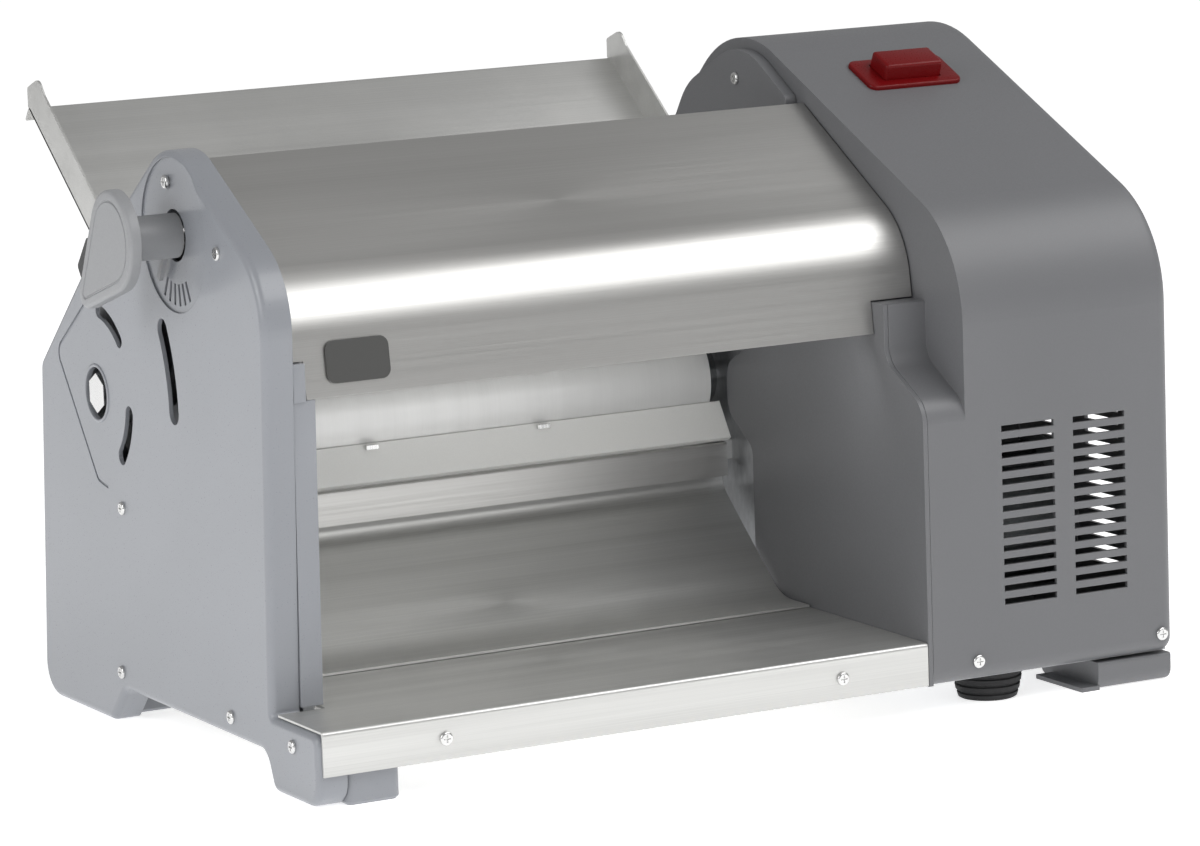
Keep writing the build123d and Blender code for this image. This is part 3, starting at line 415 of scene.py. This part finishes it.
@dataclass(frozen=True)
class Finish:
    """One surface finish: its colour, gloss, grain and wear."""

    name: str
    slot: str
    colour: Colour
    second: Colour
    roughness: float
    grain: Grain
    metallic: float = 0.0
    rough_spread: float = 0.08
    bump: float = 0.15
    grain_tint: float = 0.25
    edge_radius: float = 0.0006
    edge_colour: Colour = (0.6, 0.6, 0.6)
    edge_amount: float = 0.2
    dust: float = 0.0
    coat: float = 0.0
    anisotropy: float = 0.0
    specular: float = 0.5

    def make(self, shelf: GroupShelf) -> bpy.types.Material:
        """Builds the material.

        Args:
            shelf: the shared node groups.

        Returns:
            The finished material.
        """
        material = bpy.data.materials.new(self.name)
        material.use_nodes = True
        tree = material.node_tree
        shader = tree.nodes["Principled BSDF"]
        grain = self.place(tree, shelf.grain(self.grain))
        edges = self.place(tree, shelf.edges)
        edges.inputs["Radius"].default_value = self.edge_radius
        band = self.blend(tree, self.colour, self.second, grain.outputs["Band"])
        shade = add_node(tree, "ShaderNodeMix", data_type="RGBA", blend_type="MULTIPLY")
        tint = map_range(tree, grain.outputs["Streak"], 0, 1, 0, self.grain_tint)
        tree.links.new(tint, shade.inputs["Factor"])
        tree.links.new(band, shade.inputs["A"])
        shade.inputs["B"].default_value = STREAK_SHADE
        worn = add_node(tree, "ShaderNodeMix", data_type="RGBA")
        wear = math_node(tree, "MULTIPLY", edges.outputs["Mask"], self.edge_amount)
        tree.links.new(wear, worn.inputs["Factor"])
        tree.links.new(shade.outputs["Result"], worn.inputs["A"])
        worn.inputs["B"].default_value = (*self.edge_colour, 1.0)
        colour = worn.outputs["Result"]
        rough = map_range(tree, grain.outputs["Streak"], 0, 1, self.roughness - self.rough_spread,
                          self.roughness + self.rough_spread)
        if self.dust > 0:
            film = self.place(tree, shelf.dust)
            film.inputs["Amount"].default_value = self.dust
            dusty = add_node(tree, "ShaderNodeMix", data_type="RGBA")
            tree.links.new(film.outputs["Mask"], dusty.inputs["Factor"])
            tree.links.new(colour, dusty.inputs["A"])
            dusty.inputs["B"].default_value = FLOUR_COLOUR
            colour = dusty.outputs["Result"]
            matt = math_node(tree, "MULTIPLY", film.outputs["Mask"], FLOUR_ROUGHNESS)
            rough = math_node(tree, "ADD", rough, matt)
        bump = add_node(tree, "ShaderNodeBump")
        bump.inputs["Strength"].default_value = self.bump
        bump.inputs["Distance"].default_value = BUMP_DISTANCE
        tree.links.new(grain.outputs["Height"], bump.inputs["Height"])
        tree.links.new(edges.outputs["Normal"], bump.inputs["Normal"])
        tree.links.new(colour, shader.inputs["Base Color"])
        tree.links.new(rough, shader.inputs["Roughness"])
        tree.links.new(bump.outputs["Normal"], shader.inputs["Normal"])
        shader.inputs["Metallic"].default_value = self.metallic
        shader.inputs["Coat Weight"].default_value = self.coat
        shader.inputs["Anisotropic"].default_value = self.anisotropy
        shader.inputs["Specular IOR Level"].default_value = self.specular
        return material

    def place(self, tree: bpy.types.NodeTree, group: ShaderGroup) -> bpy.types.Node:
        """Puts a shared group into this material's tree."""
        return add_node(tree, "ShaderNodeGroup", node_tree=group.tree)

    def blend(self, tree: bpy.types.NodeTree, a: Colour, b: Colour,
              factor: bpy.types.NodeSocket) -> bpy.types.NodeSocket:
        """Mixes two fixed colours by a factor that changes over the surface."""
        mix = add_node(tree, "ShaderNodeMix", data_type="RGBA")
        tree.links.new(factor, mix.inputs["Factor"])
        mix.inputs["A"].default_value = (*a, 1.0)
        mix.inputs["B"].default_value = (*b, 1.0)
        return mix.outputs["Result"]


class Finishes:
    """Every finish on the machine."""

    # Same grey plastic as the casing, painted lighter: the cover's lighter base colour is painted light
    # from the key light on the left.
    COVER = Finish("grey_moulding_with_painted_key_light", "grey_plastic",
                   (0.272, 0.283, 0.308), (0.258, 0.269, 0.292), 0.30,
                   Grain.MOULDED, rough_spread=0.03, bump=0.03, grain_tint=0.02,
                   edge_colour=(0.46, 0.48, 0.52),
                   edge_amount=0.45, coat=0.15)
    CASING = Finish("dark_grey_moulding", "dark_grey_plastic",
                    (0.150, 0.152, 0.160), (0.142, 0.144, 0.151), 0.44,
                    Grain.MOULDED, rough_spread=0.05, bump=0.10, grain_tint=0.07,
                    edge_colour=(0.34, 0.345, 0.36),
                    edge_amount=0.5, edge_radius=0.0008)
    LEVER = Finish("lever_moulding", "lever_plastic",
                   (0.300, 0.305, 0.315), (0.285, 0.290, 0.300), 0.42,
                   Grain.MOULDED, rough_spread=0.05, bump=0.08, grain_tint=0.06,
                   edge_colour=(0.5, 0.5, 0.52),
                   edge_amount=0.4)
    SCREEN = Finish("brushed_stainless_sheet", "brushed_stainless",
                    (0.60, 0.595, 0.58), (0.56, 0.555, 0.54), 0.36,
                    Grain.BRUSHED, metallic=1.0, rough_spread=0.05, bump=0.12, grain_tint=0.16,
                    edge_colour=(0.85, 0.85, 0.84), edge_amount=0.3, edge_radius=0.0003,
                    anisotropy=0.3)
    TRAY = Finish("worn_stainless_tray", "brushed_stainless",
                  (0.68, 0.68, 0.665), (0.60, 0.60, 0.585), 0.40,
                  Grain.BRUSHED, metallic=0.85, rough_spread=0.06, bump=0.12, grain_tint=0.16,
                  edge_colour=(0.85, 0.85, 0.84), edge_amount=0.3, edge_radius=0.0003,
                  anisotropy=0.35, dust=0.10)
    ZINC = Finish("zinc_plated_steel", "zinc_steel",
                  (0.46, 0.47, 0.48), (0.40, 0.41, 0.43), 0.45,
                  Grain.ROLLED, metallic=1.0, bump=0.10, edge_colour=(0.7, 0.7, 0.7))
    CASTING = Finish("machined_casting", "cast_metal",
                     (0.27, 0.28, 0.29), (0.22, 0.23, 0.24), 0.55,
                     Grain.CAST, metallic=0.9, bump=0.5, edge_colour=(0.55, 0.55, 0.55),
                     edge_amount=0.4)
    BRIGHT = Finish("bright_plated_fixings", "bright_steel",
                    (0.74, 0.74, 0.73), (0.66, 0.66, 0.66), 0.20,
                    Grain.TURNED, metallic=1.0, rough_spread=0.06, bump=0.08, grain_tint=0.15,
                    edge_colour=(0.9, 0.9, 0.9), edge_radius=0.0003)
    # Painted reflection: the pale base colour and low metallic stand in for the steel roller reflecting
    # the white floor. The flour dust on its upper side is separate.
    ROLLER = Finish("ground_roller_face_with_painted_reflection", "satin_roller",
                    (0.86, 0.86, 0.85), (0.82, 0.82, 0.81), 0.42,
                    Grain.TURNED, metallic=0.35, rough_spread=0.05, bump=0.04, grain_tint=0.05,
                    edge_colour=(0.9, 0.9, 0.9), edge_radius=0.0004, dust=0.35)
    GEARS = Finish("oiled_gear_steel", "gear_steel",
                   (0.33, 0.32, 0.31), (0.24, 0.235, 0.23), 0.36,
                   Grain.TURNED, metallic=1.0, bump=0.15, edge_colour=(0.6, 0.6, 0.6),
                   edge_radius=0.0004)
    BLADE = Finish("white_scraper_plastic", "white_plastic",
                   (0.88, 0.88, 0.86), (0.84, 0.84, 0.81), 0.42,
                   Grain.MOULDED, bump=0.06, grain_tint=0.06, edge_colour=(0.9, 0.9, 0.88),
                   edge_amount=0.3,
                   dust=0.25)
    RUBBER = Finish("moulded_black_rubber", "black_rubber",
                    (0.018, 0.018, 0.019), (0.026, 0.026, 0.027), 0.62,
                    Grain.CAST, bump=0.25, grain_tint=0.2, edge_colour=(0.06, 0.06, 0.06),
                    specular=0.3)
    RED = Finish("red_gloss_switch", "red_plastic",
                 (0.150, 0.002, 0.003), (0.135, 0.002, 0.003), 0.30,
                 Grain.MOULDED, rough_spread=0.04, bump=0.04, grain_tint=0.05,
                 edge_colour=(0.26, 0.02, 0.02),
                 edge_amount=0.4, specular=0.2)
    BLACK = Finish("black_moulding", "black_plastic",
                   (0.030, 0.031, 0.033), (0.040, 0.041, 0.043), 0.45,
                   Grain.MOULDED, bump=0.10, grain_tint=0.1, edge_colour=(0.15, 0.15, 0.15))
    BADGE = Finish("dark_badge_plastic", "black_plastic",
                   (0.080, 0.080, 0.078), (0.074, 0.074, 0.072), 0.35,
                   Grain.MOULDED, rough_spread=0.04, bump=0.05, grain_tint=0.05,
                   edge_colour=(0.2, 0.2, 0.2),
                   specular=0.3)

    def __init__(self, shelf: GroupShelf) -> None:
        """Makes no material until it is asked for."""
        self.shelf = shelf
        self.made: dict[str, bpy.types.Material] = {}

    def get(self, finish: Finish) -> bpy.types.Material:
        """Returns the material of a finish."""
        if finish.name not in self.made:
            self.made[finish.name] = finish.make(self.shelf)
        return self.made[finish.name]


CAD_FINISHES: tuple[tuple[Finish, tuple[str, ...]], ...] = (
    (Finishes.COVER, ("left_cover", "left_feet", "left_cheek")),
    (Finishes.CASING, ("drive_casing", "right_cheek", "gear_cap", "foot_rail")),
    (Finishes.ZINC, ("left_side_plate", "right_side_plate", "base_plate", "motor_bracket")),
    (Finishes.TRAY, ("discharge_tray", "curved_chute")),
    (Finishes.SCREEN, ("back_panel", "scraper_bar", "guard_arms")),
    (Finishes.CASTING, ("left_lower_bearing", "right_lower_bearing", "left_carriage", "right_carriage",
                        "left_yoke", "right_yoke", "motor_ends", "motor_shell")),
    (Finishes.BRIGHT, ("bearing_bolts", "cover_screws", "guard_pins", "tray_pins", "tie_bars",
                       "scraper_clips", "cross_shaft", "cams", "upper_shaft", "lower_shaft", "jack_stud",
                       "motor_rotor")),
    (Finishes.ROLLER, ("upper_sleeve", "lower_sleeve")),
    (Finishes.GEARS, ("upper_gear", "lower_gear", "drive_gear", "pinion", "large_pulley",
                      "motor_pulley")),
    (Finishes.BLADE, ("lower_scraper", "upper_scraper")),
    (Finishes.RUBBER, ("drive_belt",)),
    (Finishes.BLACK, ("switch_box", "terminal_box", "cable_gland", "motor_fan", "tray_brackets")),
)


class Dresser:
    """Puts finishes on CAD nodes and finished pieces on their bodies."""

    def __init__(self, finishes: Finishes) -> None:
        """Keeps the finishes."""
        self.finishes = finishes

    def dress_cad(self) -> None:
        """Gives every carried-over CAD node its finish."""
        for finish, names in CAD_FINISHES:
            for name in names:
                self.paint(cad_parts[name], finish)

    def paint(self, piece: bpy.types.Object, finish: Finish) -> None:
        """Makes the finish the piece's only material."""
        piece.data.materials.clear()
        piece.data.materials.append(self.finishes.get(finish))

    def fit(self, piece: bpy.types.Object, finish: Finish, body: str,
            replaces: Iterable[str] = ()) -> None:
        """Paints a new piece and hangs it on its body.

        Args:
            piece: the finished piece.
            finish: its finish.
            body: the CAD body that it moves with.
            replaces: CAD nodes that it stands for.
        """
        self.paint(piece, finish)
        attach(piece, body)
        names = tuple(replaces)
        if names:
            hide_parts(*names)
        LOG.info("%s: %d faces, on %s", piece.name, len(piece.data.polygons), body)


# ---------------------------------------------------------------- sub-assemblies


@dataclass
class Guard:
    """Blank badge on the curved stainless guard over the rollers."""

    badge_centre: tuple[float, float, float] = (66.5, 59.75, 270.0)
    badge_size: tuple[float, float, float] = (44.0, 1.2, 27.0)
    badge_corner: float = 6.0
    lean: float = math.radians(-7.8)

    def build_badge(self) -> bpy.types.Object:
        """Returns the blank badge, a thin plate with rounded corners."""
        work = Workpiece()
        tilt = Matrix.Translation(DATUM.at(*self.badge_centre)) @ Matrix.Rotation(self.lean, 4, "X")
        work.block(self.badge_size, tilt)
        through = tilt.to_3x3().inverted()
        upright = [e for e in work.bm.edges if abs((through @ (e.verts[0].co - e.verts[1].co)).y) > 1e-4]
        work.bevel(upright, self.badge_corner, 8, clamp=True)
        return work.finish("guard_badge")

    def dress(self, dresser: Dresser) -> None:
        """Builds and fits the pieces."""
        dresser.fit(self.build_badge(), Finishes.BADGE, "guard", ["badge"])


@dataclass
class GapLever:
    """Drop-shaped handle of the gap setting, with its recessed face."""

    pivot: tuple[float, float] = (186.0, 342.0)
    tip: tuple[float, float] = (45.0, -38.0)
    pivot_radius: float = 33.0
    tip_radius: float = 10.0
    back_face: float = -36.0
    front_face: float = -44.0
    rim_round: float = 2.6
    face_steps: tuple[tuple[float, float], ...] = ((3.4, 0.0), (0.7, 0.9), (0.6, 0.0), (0.7, -0.9))

    def outline(self, big: float, small: float) -> list[tuple[float, float]]:
        """Returns the drop outline: a band pulled round the pivot circle and the tip circle.

        Args:
            big: radius round the pivot, millimetres.
            small: radius round the tip, millimetres.

        Returns:
            Points (y, z) in working millimetres, anticlockwise.
        """
        reach = math.hypot(*self.tip)
        heading = math.atan2(self.tip[1], self.tip[0])
        spread = math.acos((big - small) / reach)
        points = []
        for centre, radius, start, end in (
                (self.tip, small, heading - spread, heading + spread),
                ((0.0, 0.0), big, heading + spread, heading - spread + 2 * math.pi)):
            steps = 28 if radius == big else 12
            for i in range(steps + 1):
                angle = start + (end - start) * i / steps
                points.append((self.pivot[0] + centre[0] + radius * math.cos(angle),
                               self.pivot[1] + centre[1] + radius * math.sin(angle)))
        return points

    def build_handle(self) -> bpy.types.Object:
        """Returns the handle: rounded rim, sunk face and a raised inner island."""
        work = Workpiece()
        drop = self.outline(self.pivot_radius, self.tip_radius)
        ring = [work.bm.verts.new(DATUM.at(self.back_face, y, z)) for y, z in drop]
        back = work.bm.faces.new(ring)
        front = work.pull([back], ((self.front_face - self.back_face) * MM, 0, 0))
        work.bevel(list(front.edges), self.rim_round, 5, clamp=True)
        front = min(work.bm.faces, key=lambda f: (round(f.calc_center_median().x, 5), -f.calc_area()))
        for width, depth in self.face_steps:
            bmesh.ops.inset_region(work.bm, faces=[front], thickness=width * MM, depth=0.0,
                                   use_even_offset=True)
            if depth:
                bmesh.ops.translate(work.bm, verts=list(front.verts), vec=(depth * MM, 0, 0))
        return work.finish("lever_handle")

    def dress(self, dresser: Dresser) -> None:
        """Builds and fits the pieces."""
        dresser.fit(self.build_handle(), Finishes.LEVER, "gap_lever", ["lever_plate"])
        dresser.paint(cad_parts["lever_hub"], Finishes.LEVER)


@dataclass
class FeedTray:
    """Sloping stainless tray behind the rollers."""

    foot: tuple[float, float] = (345.0, 319.5)
    rise: tuple[float, float] = (107.0, 84.0)
    length: float = 136.0
    left: float = 14.0
    right: float = 464.0
    tongue_left: float = 38.6
    tongue_right: float = 439.8
    pivot: tuple[float, float] = (368.0, 312.0)
    sheet: float = 1.5
    flange_height: float = 24.0
    tab_thickness: float = 3.0
    tab_inset: float = 0.4

    def point(self, along: float, above: float) -> tuple[float, float]:
        """Returns the side-view point along the tray's slope and above its surface."""
        run = math.hypot(*self.rise)
        c, s = self.rise[0] / run, self.rise[1] / run
        return self.foot[0] + along * c - above * s, self.foot[1] + along * s + above * c

    def corners(self, steps: Sequence[tuple[float, float, float]]) -> list[Corner]:
        """Returns side-view corners from (along, above, radius) steps."""
        return [(*self.point(along, above), radius) for along, above, radius in steps]

    def build(self) -> bpy.types.Object:
        """Returns the tray: floor with rolled lip, tongue, two flanges and two hinge tabs."""
        work = Workpiece()
        floor = self.corners(((14, 0, 0), (self.length, 0, 3.2), (self.length, -12, 0)))
        work.sheet(floor, self.left, self.right, self.sheet, segments=6)
        tongue = self.corners(((-52, 0, 0), (15, 0, 0)))
        work.sheet(tongue, self.tongue_left, self.tongue_right, self.sheet)
        flange = self.corners(((0, -self.sheet, 10), (self.length + 1, -self.sheet, 1),
                               (self.length + 9, 9, 2), (self.length - 2, 27, 7),
                               (self.length - 16, self.flange_height, 8), (0, self.flange_height, 14)))
        for x in (self.left, self.right - self.sheet):
            work.plate(flange, x, x + self.sheet)
        tab = [(*self.point(4, -1), 0), (self.pivot[0] - 7, self.pivot[1] - 5, 5),
               (self.pivot[0] + 8, self.pivot[1] - 7, 5), (*self.point(42, -1), 0)]
        for x in (self.tongue_left + self.tab_inset,
                  self.tongue_right - self.tab_inset - self.tab_thickness):
            work.plate(tab, x, x + self.tab_thickness)
        return work.finish("feed_tray_sheet")

    def dress(self, dresser: Dresser) -> None:
        """Builds and fits the piece."""
        dresser.fit(self.build(), Finishes.TRAY, "feed_tray", ["feed_tray"])


@dataclass
class StopSwitch:
    """Red stop pad and its surround on the sloping top of the casing."""

    centre_x: float = 555.7
    centre_y: float = 197.5
    slope_start: float = 312.3
    slope: float = math.atan2(131.1, 290.3)
    half_size: tuple[float, float] = (36.5, 19.0)
    half_opening: tuple[float, float] = (22.8, 11.3)
    corner: float = 6.0
    height: float = 3.0
    pad_size: tuple[float, float, float] = (45.0, 22.0, 32.0)
    pad_depth: float = -2.0
    pad_round: float = 2.2

    def place(self) -> Matrix:
        """Returns the frame of the switch, its local Z square to the slope."""
        z = self.slope_start + self.centre_y * math.tan(self.slope)
        spot = DATUM.at(self.centre_x, self.centre_y, z)
        return Matrix.Translation(spot) @ Matrix.Rotation(self.slope, 4, "X")

    def build_surround(self) -> bpy.types.Object:
        """Returns the raised surround with its opening."""
        work = Workpiece()
        outer = bmesh.ops.create_grid(work.bm, x_segments=1, y_segments=1, size=1.0)["verts"]
        bmesh.ops.scale(work.bm, verts=outer, vec=(self.half_size[0] * MM, self.half_size[1] * MM, 1.0))
        work.bevel(outer, self.corner, 8, "VERTICES", True)
        face = work.bm.faces[:][0]
        inner = bmesh.ops.create_grid(work.bm, x_segments=1, y_segments=1, size=1.0)["verts"]
        bmesh.ops.scale(work.bm, verts=inner,
                        vec=(self.half_opening[0] * MM, self.half_opening[1] * MM, 1.0))
        hole = next(f for f in work.bm.faces if f is not face)
        loops = list(face.edges) + list(hole.edges)
        bmesh.ops.delete(work.bm, geom=[face, hole], context="FACES_ONLY")
        bmesh.ops.bridge_loops(work.bm, edges=loops)
        work.pull(work.bm.faces[:], (0, 0, self.height * MM))
        work.soften(self.is_outer_rim, 1.3, 4)
        bmesh.ops.transform(work.bm, matrix=self.place(), verts=work.bm.verts[:])
        return work.finish("switch_surround")

    def is_outer_rim(self, edge: bmesh.types.BMEdge) -> bool:
        """Tells whether an edge is on the surround's upper outside edge, before it is put in place."""
        corner = edge.verts[0].co
        spread = max(abs(corner.x) / self.half_size[0], abs(corner.y) / self.half_size[1])
        on_top = all(v.co.z > (self.height - 0.1) * MM for v in edge.verts)
        return on_top and edge.calc_face_angle(0) > 1.0 and spread > 0.72 * MM

    def build_pad(self) -> bpy.types.Object:
        """Returns the push pad."""
        work = Workpiece()
        spot = self.place() @ Matrix.Translation((0, 0, self.pad_depth * MM))
        work.block(self.pad_size, spot, self.pad_round, 4)
        return work.finish("stop_pad")

    def dress(self, dresser: Dresser) -> None:
        """Builds and fits the pieces."""
        dresser.fit(self.build_surround(), Finishes.RED, "frame", ["switch_plate"])
        dresser.fit(self.build_pad(), Finishes.RED, "stop_button", ["stop_button"])


@dataclass
class Feet:
    """Ribbed rubber feet under the drive casing."""

    centre_x: float = 510.0
    rows: tuple[float, float] = (36.0, 400.0)
    profile: tuple[tuple[float, float], ...] = (
        (0.0, 0.0), (0.0, 18.6), (0.7, 19.8), (3.6, 20.6), (4.2, 19.6), (5.2, 19.8), (5.8, 21.4),
        (9.0, 22.0), (9.6, 20.8), (10.6, 21.0), (11.2, 22.6), (14.4, 23.1), (15.0, 21.9), (16.0, 22.1),
        (16.6, 23.5),
        (20.2, 24.0), (20.3, 0.0))

    def build(self) -> bpy.types.Object:
        """Returns both feet as one piece."""
        work = Workpiece()
        for y in self.rows:
            work.lathe(self.profile, DATUM.at(self.centre_x, y, 0), (0, 0, 1))
        return work.finish("ribbed_feet")

    def dress(self, dresser: Dresser) -> None:
        """Builds and fits the piece."""
        dresser.fit(self.build(), Finishes.RUBBER, "frame", ["rubber_feet"])


@dataclass
class LeftCoverTrim:
    """Raised lip round the bearing bolt's hole in the left cover."""

    bolt: tuple[float, float] = (324.0, 223.0)
    lip: tuple[tuple[float, float], ...] = (
        (2.8, 17.6), (-0.6, 17.6), (-0.9, 18.1), (-0.9, 19.0), (-0.6, 19.6), (0.1, 19.9), (1.2, 19.9),
        (2.8, 18.6), (2.8, 17.6))

    def build(self) -> bpy.types.Object:
        """Returns the raised lip, a turned ring."""
        work = Workpiece()
        work.lathe(self.lip, DATUM.at(0, *self.bolt), (1, 0, 0), 64)
        return work.finish("bolt_hole_lip")

    def dress(self, dresser: Dresser) -> None:
        """Builds and fits the piece."""
        dresser.fit(self.build(), Finishes.COVER, "frame")


# ---------------------------------------------------------------- studio


@dataclass(frozen=True)
class SoftLight:
    """One soft rectangular light: where it hangs and looks in metres, its two sides, and its watts."""

    name: str
    place: Corner
    size: tuple[float, float]
    power: float
    aim: Corner = (0.0, 0.0, 0.25)

    def hang(self) -> None:
        """Makes the light, turned towards its aim."""
        data = bpy.data.lights.new(self.name, "AREA")
        data.shape = "RECTANGLE"
        data.size, data.size_y = self.size
        data.energy = self.power
        lamp = bpy.data.objects.new(self.name, data)
        spot = Vector(self.place)
        turn = (Vector(self.aim) - spot).to_track_quat("-Z", "Y").to_matrix().to_4x4()
        lamp.matrix_world = Matrix.Translation(spot) @ turn
        bpy.context.scene.collection.objects.link(lamp)


@dataclass
class Studio:
    """Camera, soft lights, floor and background."""

    LIGHTS = (
        SoftLight("left_softbox", (-3.0, -0.5, 1.5), (1.8, 1.8), 34.0),
        SoftLight("guard_strip", (1.25, -1.35, 2.20), (3.4, 1.4), 48.0),
        SoftLight("front_panel", (-1.5, -3.2, 0.9), (1.8, 1.0), 3.0),
        SoftLight("mouth_fill", tuple(DATUM.at(236, 62, 240)), (0.38, 0.05), 0.12,
                  tuple(DATUM.at(236, 250, 120))),
    )

    azimuth: float = -28.028
    elevation: float = 9.36
    roll: float = -2.015
    lens: float = 161.87
    sensor: float = 36.0
    eye: tuple[float, float, float] = (-1369.94, -2958.25, 774.62)
    floor_half: float = 3.2
    floor_glow: float = 0.68
    low_light: float = 0.42
    high_light: float = 0.38
    backdrop: float = 1.15
    world_strength: float = 0.9

    def add_camera(self) -> None:
        """Makes the camera at the viewing angle and sets it as the scene's."""
        az, el, roll = (math.radians(v) for v in (self.azimuth, self.elevation, self.roll))
        back = Vector((math.sin(az) * math.cos(el), -math.cos(az) * math.cos(el), math.sin(el)))
        right = (-back).cross(Vector((0, 0, 1))).normalized()
        up = right.cross(-back)
        right_rolled = math.cos(roll) * right + math.sin(roll) * up
        up_rolled = -math.sin(roll) * right + math.cos(roll) * up
        data = bpy.data.cameras.new("camera")
        data.sensor_width = self.sensor
        data.lens = self.lens
        data.clip_start, data.clip_end = 0.05, 50.0
        camera = bpy.data.objects.new("camera", data)
        turn = Matrix((right_rolled, up_rolled, back)).transposed().to_4x4()
        camera.matrix_world = Matrix.Translation(DATUM.at(*self.eye)) @ turn
        bpy.context.scene.collection.objects.link(camera)
        bpy.context.scene.camera = camera

    def add_floor(self) -> None:
        """Makes the plain pale floor."""
        work = Workpiece()
        bmesh.ops.create_grid(work.bm, x_segments=1, y_segments=1, size=self.floor_half)
        floor = work.finish("floor")
        material = bpy.data.materials.new("pale_floor")
        material.use_nodes = True
        shader = material.node_tree.nodes["Principled BSDF"]
        shader.inputs["Base Color"].default_value = (0.90, 0.90, 0.90, 1.0)
        shader.inputs["Roughness"].default_value = 0.65
        shader.inputs["Specular IOR Level"].default_value = 0.25
        shader.inputs["Emission Color"].default_value = (1.0, 1.0, 1.0, 1.0)
        shader.inputs["Emission Strength"].default_value = self.floor_glow
        floor.data.materials.append(material)

    def add_world(self) -> None:
        """Even pale surroundings, darker above the machine than at eye level."""
        world = bpy.data.worlds.new("studio")
        world.use_nodes = True
        tree = world.node_tree
        background = tree.nodes["Background"]
        coords = add_node(tree, "ShaderNodeTexCoord")
        split = add_node(tree, "ShaderNodeSeparateXYZ")
        tree.links.new(coords.outputs["Generated"], split.inputs[0])
        ramp = add_node(tree, "ShaderNodeValToRGB")
        ramp.color_ramp.elements[0].position = 0.0
        ramp.color_ramp.elements[0].color = (*[self.low_light] * 3, 1)
        ramp.color_ramp.elements[1].position = 0.8
        ramp.color_ramp.elements[1].color = (*[self.high_light] * 3, 1)
        tree.links.new(split.outputs["Z"], ramp.inputs["Fac"])
        path = add_node(tree, "ShaderNodeLightPath")
        mix = add_node(tree, "ShaderNodeMix", data_type="RGBA")
        tree.links.new(path.outputs["Is Camera Ray"], mix.inputs["Factor"])
        tree.links.new(ramp.outputs["Color"], mix.inputs["A"])
        mix.inputs["B"].default_value = (*[self.backdrop] * 3, 1.0)
        tree.links.new(mix.outputs["Result"], background.inputs["Color"])
        background.inputs["Strength"].default_value = self.world_strength
        bpy.context.scene.world = world

    def set_up(self) -> None:
        """Builds the whole studio."""
        self.add_camera()
        self.add_world()
        self.add_floor()
        for light in self.LIGHTS:
            light.hang()
        bpy.context.scene.view_settings.view_transform = "Standard"


def main() -> None:
    """Builds the studio, then dresses the frame and each sub-assembly."""
    logging.basicConfig(level=logging.INFO, format="%(name)s: %(message)s")
    Studio().set_up()
    dresser = Dresser(Finishes(GroupShelf()))
    dresser.dress_cad()
    for assembly in (Guard(), GapLever(), FeedTray(), StopSwitch(), Feet(), LeftCoverTrim()):
        assembly.dress(dresser)
    dresser.paint(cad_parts["guard"], Finishes.SCREEN)


if __name__ == "__main__":
    main()
